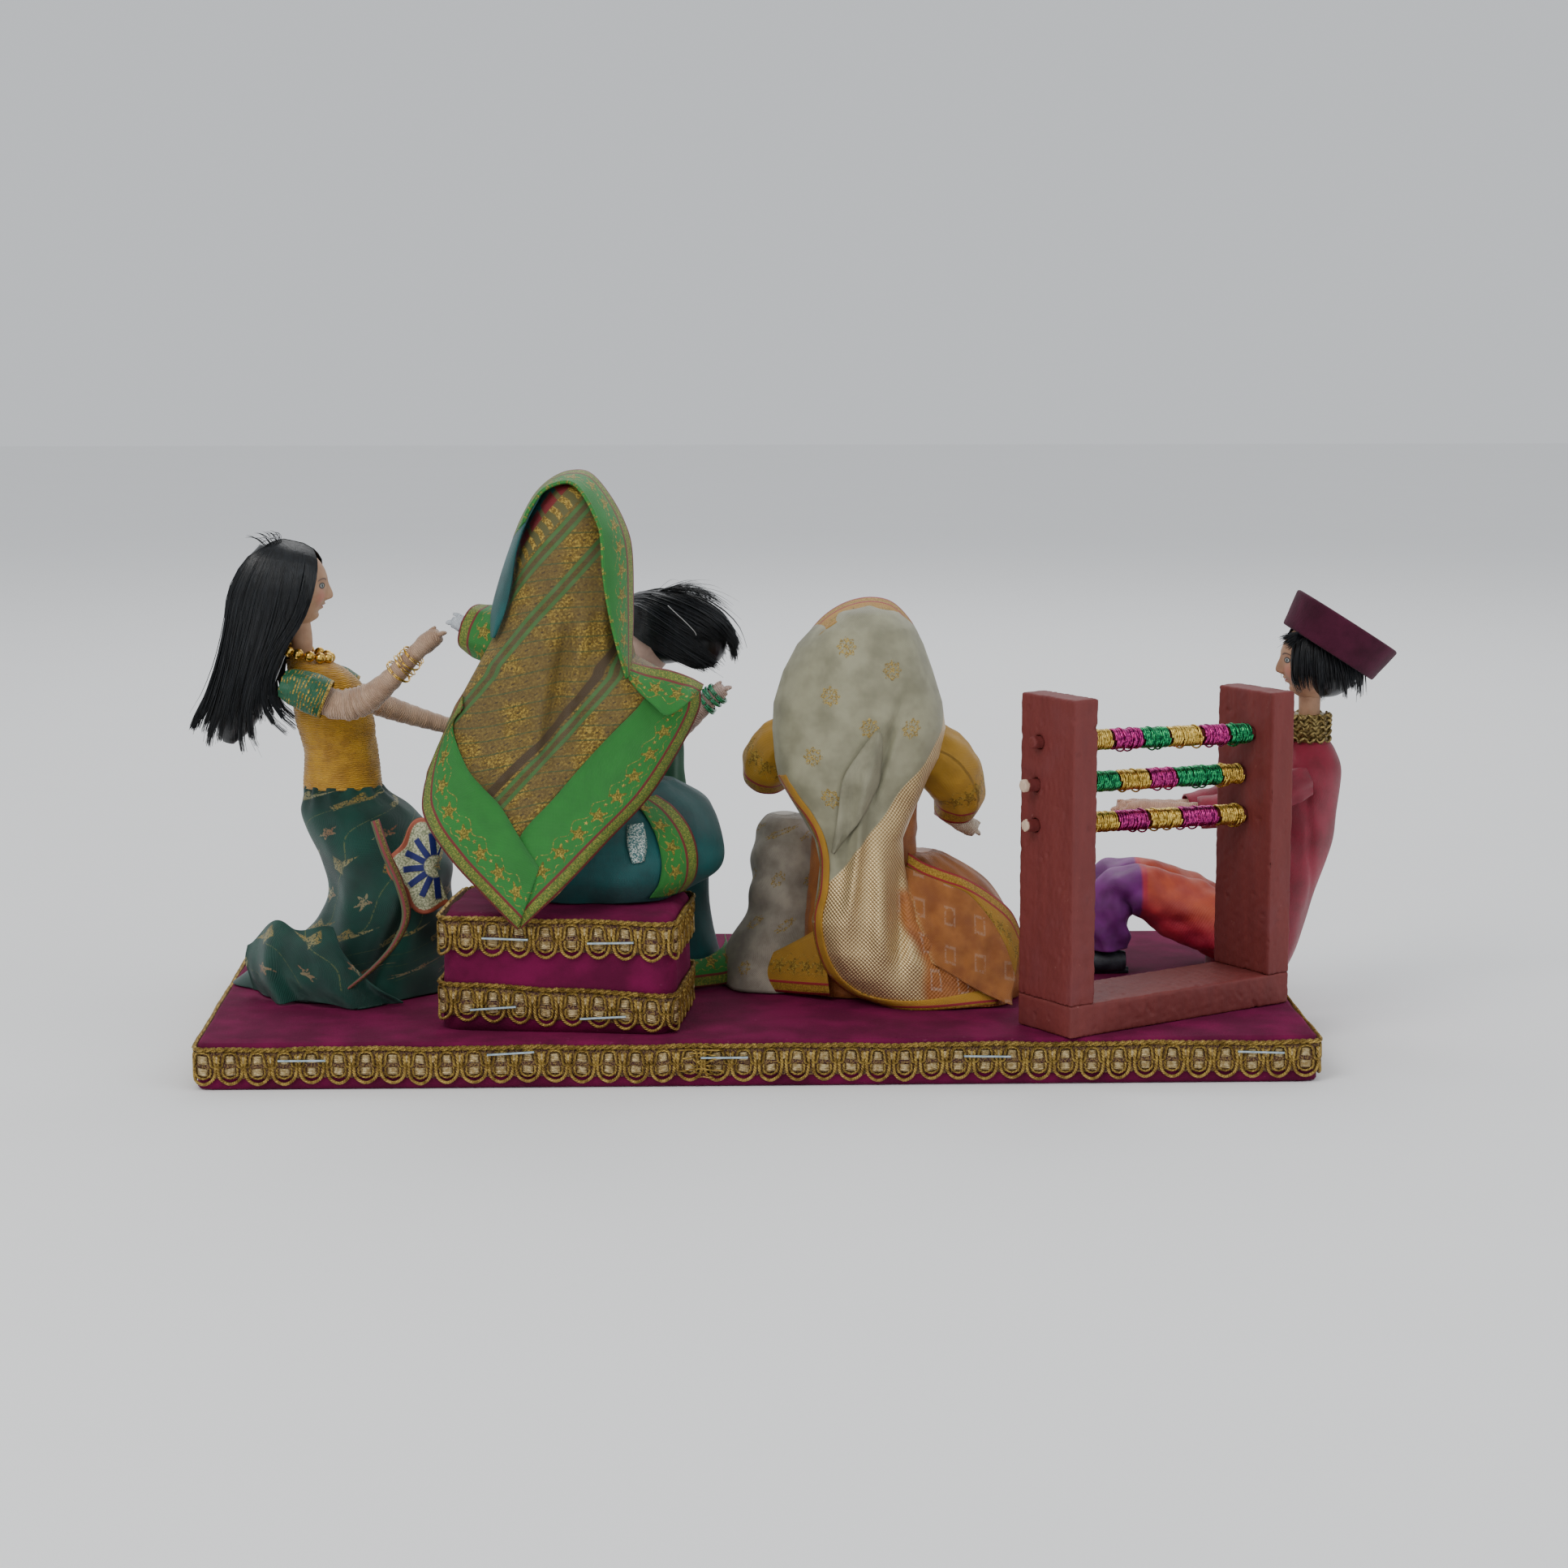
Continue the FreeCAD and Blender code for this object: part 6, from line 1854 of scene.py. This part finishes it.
def make_companion():
    body = "tableau"
    skin = skin_material("companion_skin", (0.50, 0.33, 0.27), (0.63, 0.44, 0.36), (0.40, 0.05, 0.06),
                         (0.08, 0.05, 0.04))
    make_head("companion_face", "companion_head", body, "tan_skin", skin, (-31.0, 24.0, 111.0), 125)
    hair = hair_material("companion_floss")
    guides = [[(-38.0, 22.0, 121.0), (-33.0, 13.5, 121.5), (-26.0, 11.5, 117.5), (-19.0, 12.5, 113.5),
               (-12.0, 15.0, 111.0)],
              [(-36.0, 24.0, 123.5), (-29.0, 16.0, 124.3), (-20.0, 14.0, 121.0), (-12.0, 15.0, 116.0),
               (-5.6, 17.5, 109.5)],
              [(-33.0, 26.0, 124.4), (-24.0, 20.0, 125.0), (-15.0, 18.0, 122.0), (-7.5, 18.5, 116.0),
               (-3.6, 20.0, 107.0)],
              [(-30.0, 30.0, 124.0), (-22.0, 27.0, 124.2), (-13.0, 25.0, 120.0), (-6.5, 24.0, 112.0),
               (-4.8, 23.5, 101.5)]]
    low = [[(-38.5, 18.0, 116.0), (-33.0, 12.5, 112.0), (-26.0, 11.5, 108.0), (-19.0, 13.0, 104.5), (-13.5,
                                                                                                     15.0,
                                                                                                     102.5)],
           [(-38.0, 20.0, 119.0), (-32.0, 12.0, 117.0), (-25.0, 11.0, 113.0), (-17.5, 12.5, 108.0), (-9.5,
                                                                                                     15.0,
                                                                                                     103.0)],
           [(-38.0, 22.0, 121.0), (-33.0, 13.5, 121.5), (-26.0, 11.5, 117.5), (-17.0, 12.5, 110.5), (-7.6,
                                                                                                     15.5,
                                                                                                     101.5)]]
    far_upper = [[(-33.0, 25.0, 124.4), (-26.0, 30.0, 125.0), (-18.0, 32.0, 122.0), (-10.0, 31.0, 116.0),
                  (-5.0, 28.0, 107.0)], [(-31.0, 27.0, 123.8), (-26.0, 33.0, 123.0), (-19.0, 34.5, 119.0),
                                         (-12.0, 33.0, 113.0), (-6.5, 30.0, 105.0)]]
    far_lower = [[(-30.0, 32.0, 121.0), (-24.0, 35.0, 119.5), (-17.0, 34.8, 114.0), (-11.5, 33.5, 108.5),
                  (-8.0, 32.0, 104.0)], [(-28.5, 34.8, 118.0), (-22.0, 35.6, 114.0), (-16.0, 34.0, 109.0),
                                         (-12.5, 32.6, 105.5), (-9.5, 31.5, 103.0)], [(-27.5, 34.2, 114.0),
                                                                                      (-22.0, 34.8, 110.5),
                                                                                      (-18.0, 33.6, 107.0),
                                                                                      (-15.0, 32.0, 104.0),
                                                                                      (-13.0, 31.0, 102.5)]]
    inner = [egg((-25.5, 23.5, 113.5), (11.5, 9.6, 10.0), 30, 40), egg((-15.5, 23.5, 110.0), (8.2, 7.4, 8.0),
                                                                       24, 32)]
    strands("companion_hair_upper", "companion_hair", guides, 900, hair, body, "black_floss", 51, inner=inner,
            steps=14, radius=0.17, spread=1.2, stray=0.14)
    strands("companion_hair_lower", "companion_hair", low, 700, hair, body, "black_floss", 52, steps=14,
            radius=0.17, spread=1.2)
    strands("companion_hair_far", "companion_hair", far_upper + far_lower, 1100, hair, body, "black_floss",
            54, steps=14, radius=0.18, spread=1.1, stray=0.12)
    frizz = [[(-30.0, 20.0, 124.0), (-24.0, 18.0, 126.6), (-19.0, 17.0, 127.4), (-14.0, 17.0, 126.0)],
             [(-24.0, 22.0, 124.6), (-17.0, 20.0, 125.6), (-11.0, 19.0, 123.0), (-6.0, 19.0, 118.0)]]
    strands("companion_hair_frizz", "companion_hair", frizz, 120, hair, body, "black_floss", 53, steps=10,
            radius=0.06, spread=2.0, stray=0.4)
    stray_thread = tube(spline([(-24.6, 10.6, 122.0), (-22.0, 9.6, 119.6), (-19.6, 9.2, 117.4), (-17.0, 9.4,
                                                                                                 114.6),
                                (-16.4, 9.6, 113.4)], 26), 0.11, 6)
    piece("companion_stray_thread", *stray_thread, thread_material("white_thread", (0.62, 0.62, 0.60),
                                                                   (0.80, 0.80, 0.78)),
          body, "companion_cloth", [(0.0, i * 0.1) for i in range(len(stray_thread[0]))])
    cloth = silk_material("companion_silk", (0.006, 0.075, 0.032), (0.012, 0.125, 0.05), sheen=0.06,
                          size=10.0)
    dress, _ = tube_cloth("companion_dress_cloth", [(-31, 38, 12.7, 17, 15), (-31, 37, 24, 16, 14), (-31, 34,
                                                                                                     40, 14.6,
                                                                                                     12.8),
                                                    (-31, 28, 66, 11, 9), (-31, 24.5, 84, 10, 7.5), (-31, 24,
                                                                                                     91.8,
                                                                                                     3.6,
                                                                                                     3.6)],
                          cloth, body, "companion_cloth", rings=80, sides=120, relief=lambda p, a,
                          t: 0.9 * np.sin(t * 9 + a * 4) * (1 - a) ** 0.8 + soft_noise(p, 9, 2) * 0.2)
    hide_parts("companion_dress")
    make_arm("companion_arm_wound", "companion_arm", [(-22, 17, 85, 3.6), (-17, 12, 90, 3.0), (-12, 10, 95,
                                                                                               2.4), (-9.6,
                                                                                                      9.8,
                                                                                                      96.8,
                                                                                                      2.3),
                                                      (-8.2, 9.6, 97.6, 1.9)],
             thread_material("companion_arm_floss", (0.52, 0.36, 0.30), (0.66, 0.48, 0.40)), body, "tan_skin",
             hand=True)
    glass = Paint("green_bangle_glass")
    tone = glass.step(glass.noise(1.0), 0.35, 0.65)
    green = glass.finish(glass.mix(tone, (0.004, 0.13, 0.05), (0.02, 0.30, 0.12)), roughness=0.14,
                         Coat_Weight=0.6)
    wire_loops("companion_glass_bangles", "companion_bangles",
               [((-13.6, 10.6, 93.4), (4.6, -0.8, 3.8), 3.5), ((-12, 10, 95), (4.6, -0.8, 3.8), 3.3),
                ((-10.5, 9.8, 96.1), (4.6, -0.8, 3.8), 3.2)], green, body, "green_bangle", 6, wire=0.42)


# Seller ------------------------------------------------------------------------------------------

def make_seller():
    skin = skin_material("seller_skin", (0.31, 0.165, 0.095), (0.42, 0.235, 0.14), (0.36, 0.04, 0.05),
                         (0.03, 0.02, 0.02))
    make_head("seller_face", "seller_head", "seller_head", "tan_skin", skin, (164.5, 17.0, 104.0), 180)
    felt = Paint("maroon_felt")
    nap = felt.noise(0.6, detail=3.0)
    tone = felt.step(felt.noise(8.0), 0.3, 0.7)
    felt_material = felt.finish(felt.mix(tone, (0.036, 0.004, 0.014), (0.066, 0.008, 0.026)), roughness=0.9,
                                bump=nap, depth_mm=0.14, Sheen_Weight=0.06, Specular_IOR_Level=0.2)
    tilt = math.radians(32.4)
    axis = np.array((math.sin(tilt), 0.0, math.cos(tilt)))
    side = np.array((math.cos(tilt), 0.0, -math.sin(tilt)))
    other = np.array((0.0, 1.0, 0.0))
    foot = np.array((169.5, 17.0, 106.9))
    profile = [(0.0, 2.2), (6.0, 2.0), (12.8, 1.6), (14.2, 0.6), (14.6, 0.1), (15.3, 0.2), (15.6, 1.0), (15.9,
                                                                                                         3.0),
               (16.5, 6.2), (17.0, 9.2), (17.15, 10.4), (16.7, 10.9), (15.6, 11.0), (9.0, 10.9), (0.02, 10.8)]
    flow = spline([(r, h, 0.0) for r, h in profile], 70)
    rows = []
    for r, h, _ in flow:
        turn = np.linspace(0, 2 * math.pi, 110, endpoint=False)
        sag = 0.22 * np.sin(turn * 2 + 0.6) + 0.12 * np.sin(turn * 5)
        rows.append(foot + axis * h + (r + sag[:, None] * (r > 12) * 1.0) * (side * np.cos(turn)[:,
                                                                                                 None]
                                                                             + other * np.sin(turn)[:, None]))
    cap_grid = np.array(rows)
    cap = piece("seller_cap_felt", cap_grid.reshape(-1, 3), grid_faces(70, 110, closed=True), felt_material,
                "seller_head", "maroon_felt")
    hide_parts("seller_cap")
    hair = hair_material("seller_floss")
    guides = []
    for k in range(13):
        turn = math.radians(-150 + k * 25)
        out_x, out_y = math.cos(turn), math.sin(turn)
        reach = 1.0 if abs(turn) < 2.2 else 0.7
        forward = 2.6 * max(0.0, -out_x)
        guides.append([(168.0 + 6.0 * out_x - forward, 17 + 7.4 * out_y, 113.5 - 3.0 * out_x),
                       (168.4 + 9.6 * out_x - forward, 17 + 10.8 * out_y, 107.0 - 2.0 * out_x),
                       (169.0 + 10.6 * out_x - forward, 17 + 11.4 * out_y, 101.0),
                       (169.8 + 9.8 * out_x - forward * 0.5, 17 + 10.4 * out_y, 101.0 - 8.6 * reach)])
    inner = [egg((169.2, 17.0, 103.2), (9.6, 10.2, 9.6), 24, 36)]
    strands("seller_hair_floss", "seller_hair", guides, 1100, hair, "seller_head", "black_floss", 61,
            inner=inner, steps=12, radius=0.17, spread=0.9, stray=0.14, tight=0.7, ragged=0.3)
    tuft = [[(160.0, 8.2, 114.0), (156.4, 7.4, 113.6), (153.0, 7.2, 112.4)],
            [(161.0, 9.4, 112.6), (158.0, 8.4, 110.6), (155.2, 8.2, 108.4)]]
    strands("seller_hair_tuft", "seller_hair", tuft, 110, hair, "seller_head", "black_floss", 62, steps=9,
            radius=0.12, spread=1.0)

    crimson = silk_material("crimson_silk", (0.16, 0.0015, 0.014), (0.28, 0.004, 0.030), sheen=0.03,
                            size=12.0, rough=0.42)

    def kurta_folds(points, along, turn):
        x, z = points[:, :, 0], points[:, :, 2]
        near = np.clip(-np.sin(turn), 0, 1)
        seam = -0.9 * np.exp(-((x - 163.0 + (z - 60) * 0.10) / 1.3) ** 2) * near * np.clip((78 - z) / 20, 0,
                                                                                           1)
        pull = 0.7 * np.sin(z * 0.42 + x * 0.25) * near * np.exp(-((z - 60) / 14) ** 2)
        return seam + pull + 0.5 * np.sin(turn * 6 + along * 5) * (1 - along) ** 1.5 + soft_noise(points, 12,
                                                                                                  6) * 0.25

    kurta, _ = tube_cloth("seller_kurta_silk", [(147, 16, 12.7, 12.5, 13), (149, 16, 20, 13.3, 13), (153, 16,
                                                                                                     34, 13.4,
                                                                                                     12.8),
                                                (158.5, 16, 50, 12.8, 12), (162, 16.5, 66, 11.6, 11), (163.6,
                                                                                                       17, 73,
                                                                                                       10.6,
                                                                                                       10.4),
                                                (164.6, 17, 78, 8.0, 8.0), (165, 17, 81.2, 5.4, 5.4)],
                          crimson, "tableau", "crimson_silk", rings=110, sides=130, relief=kurta_folds)
    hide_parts("seller_kurta")
    braid = []
    for k in range(5):
        turn = np.linspace(0, 2 * math.pi * 12, 500)
        ring = np.linspace(0, 2 * math.pi, 500)
        z = 81.4 + k * 1.72
        line = np.stack([164.5 + (6.1 + 0.45 * np.cos(turn * 1.0)) * np.cos(ring),
                         17 + (6.1 + 0.45 * np.cos(turn)) * np.sin(ring), z + 0.62 * np.sin(turn + k)],
                        axis=1)
        braid.append(tube(line, 0.42, 6))
    lining = tube([(164.5, 17, 80.8), (164.5, 17, 84), (164.5, 17, 88.6)], 5.7, 40)
    points, faces = gather(braid + [lining])
    collar = piece("seller_collar_braid", points, faces, lace_braid_material(), "tableau", "gold_lace",
                   [(i * 0.02, i % 6 * 0.3) for i in range(len(points))])
    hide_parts("seller_collar")
    skin_thread = thread_material("seller_hand_floss", (0.50, 0.26, 0.17), (0.64, 0.37, 0.25))
    for side_name, y, drop in (("left", 0.4, 0.0), ("right", 33.0, -3.0)):
        toward = 1 if side_name == "left" else -1
        arm_body = f"seller_{side_name}_arm"
        sleeve = [(161.5, y + 1.4 * toward, 70.6 + drop / 3, 4.2), (157, y + 0.4 * toward, 69.6 + drop / 3,
                                                                    5.2), (150, y + 1.0 * toward,
                                                                           66.5 + drop / 2, 5.5), (140,
                                                                                                   y + 2.5
                                                                                                   * toward,
                                                                                                   62.8
                                                                                                   + drop,
                                                                                                   5.2),
                  (130.5, y + 4.0 * toward, 61.2 + drop, 4.8)]
        make_sleeve(f"seller_{side_name}_sleeve", arm_body, sleeve, crimson, arm_body, "crimson_silk",
                    from_hem=True, puckers=6)
        make_arm(f"seller_{side_name}_hand", None,
                 [(140, y + 2.5 * toward, 62.6 + drop, 3.2), (131, y + 4.0 * toward, 61.2 + drop, 3.2),
                  (122, y + 5.0 * toward, 61.6 + drop, 2.8), (114, y + 5.9 * toward, 61.8 + drop, 3.0),
                  (109.4, y + 6.3 * toward, 61.9 + drop, 2.2)], skin_thread, arm_body, "tan_skin", hand=True)
    make_seller_legs()


def lace_braid_material():
    paint = Paint("collar_gold_braid")
    tone = paint.step(paint.noise(0.8), 0.35, 0.65)
    return paint.finish(paint.mix(tone, (0.075, 0.045, 0.012), (0.34, 0.25, 0.085)), roughness=0.4,
                        metallic=0.6, bump=paint.noise(0.4), depth_mm=0.1)


def make_seller_legs():
    paint = Paint("seller_shot_silk")
    x, y, z = paint.axes()
    tone = paint.step(paint.noise(8.0, detail=3.0), 0.3, 0.7)
    purple = paint.mix(tone, (0.11, 0.003, 0.12), (0.21, 0.010, 0.23))
    red = paint.mix(tone, (0.38, 0.012, 0.040), (0.60, 0.034, 0.060))
    orange = paint.mix(tone, (0.44, 0.05, 0.03), (0.62, 0.10, 0.035))
    colour = paint.mix(paint.step(x + paint.noise(9.0) * 1.4, 114.2, 115.2), purple, red)
    colour = paint.mix(paint.step(z + x * 0.35, 71.0, 80.0) * paint.step(x, 115.0, 116.0), colour, orange)
    cloth = paint.finish(colour, roughness=0.36, bump=paint.weave(0.4) + paint.noise(1.4) * 0.4,
                         depth_mm=0.05, Sheen_Weight=0.06)
    shoe = Paint("dark_shoe")
    grain = shoe.noise(0.7)
    shoe_material = shoe.finish(shoe.mix(shoe.step(shoe.noise(3.0), 0.3, 0.7), (0.012, 0.014, 0.02), (0.035,
                                                                                                      0.04,
                                                                                                      0.05)),
                                roughness=0.5, bump=grain, depth_mm=0.1)
    for side_name, y in (("near", 9.5), ("far", 23.5)):
        flow = spline([(148, y + 1, 22, 9.0), (143, y + 1, 24.4, 9.6), (135, y + 0.6, 28.0, 9.8), (127, y,
                                                                                                   31.6, 9.2),
                       (119, y, 35.6, 8.0), (112, y, 38.0, 7.2), (107.4, y, 36.4, 6.6), (105.2, y, 31.0, 6.6),
                       (104.8, y, 25.0, 6.2), (105.0, y, 20.0, 5.6)], 110)
        raw, faces = tube(flow[:, :3], flow[:, 3], 90)
        grid = raw.reshape(110, 90, 3)
        out = grid - flow[:, None, :3]
        out /= np.linalg.norm(out, axis=2, keepdims=True)
        turn = np.arange(90) * 2 * math.pi / 90
        along = np.linspace(0, 1, 110)[:, None]
        crumple = 0.5 * np.sin(turn * 4 + along * 20) + 0.45 * np.sin(along * 34 + np.sin(turn)
                                                                      * 2.5) * np.exp(-((along - 0.62)
                                                                                        / 0.22) ** 2)
        crumple = crumple + soft_noise(grid, 6.0, 8) * 0.35
        grid = grid + out * crumple[:, :, None]
        run = np.concatenate([[0], np.cumsum(np.linalg.norm(np.diff(flow[:, :3], axis=0), axis=1))])
        uv = np.stack([np.repeat(turn[None, :] * 7.5, 110, axis=0), np.repeat(run[:, None], 90, axis=1)],
                      axis=2)
        leg = piece(f"seller_{side_name}_leg", grid.reshape(-1, 3), faces, cloth, "tableau", "shot_silk",
                    uv.reshape(-1, 2))
        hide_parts("seller_legs")
        parts = [tube(spline([(110, y, 16.2, ), (105, y, 16.2), (99, y, 15.7), (93.6, y, 15.1)], 26),
                      np.interp(np.linspace(0, 1, 26), [0, 0.3, 0.75, 1], [2.9, 3.5, 2.9, 1.2]), 26)]
        sole = tube(spline([(111.0, y, 13.4), (104, y, 13.2), (93.4, y, 13.3)], 20),
                    np.interp(np.linspace(0, 1, 20), [0, 0.3, 0.8, 1], [1.0, 1.1, 1.0, 0.6]), 14)
        points, faces = gather(parts + [sole])
        made_shoe = piece(f"seller_{side_name}_shoe", points, faces, shoe_material, "tableau", "dark_shoe")
        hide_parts("seller_shoes")


# Everything --------------------------------------------------------------------------------------

make_studio()
make_base()
make_stand()
make_lady()
make_elder()
make_girl()
make_companion()
make_seller()

bpy.context.view_layer.update()
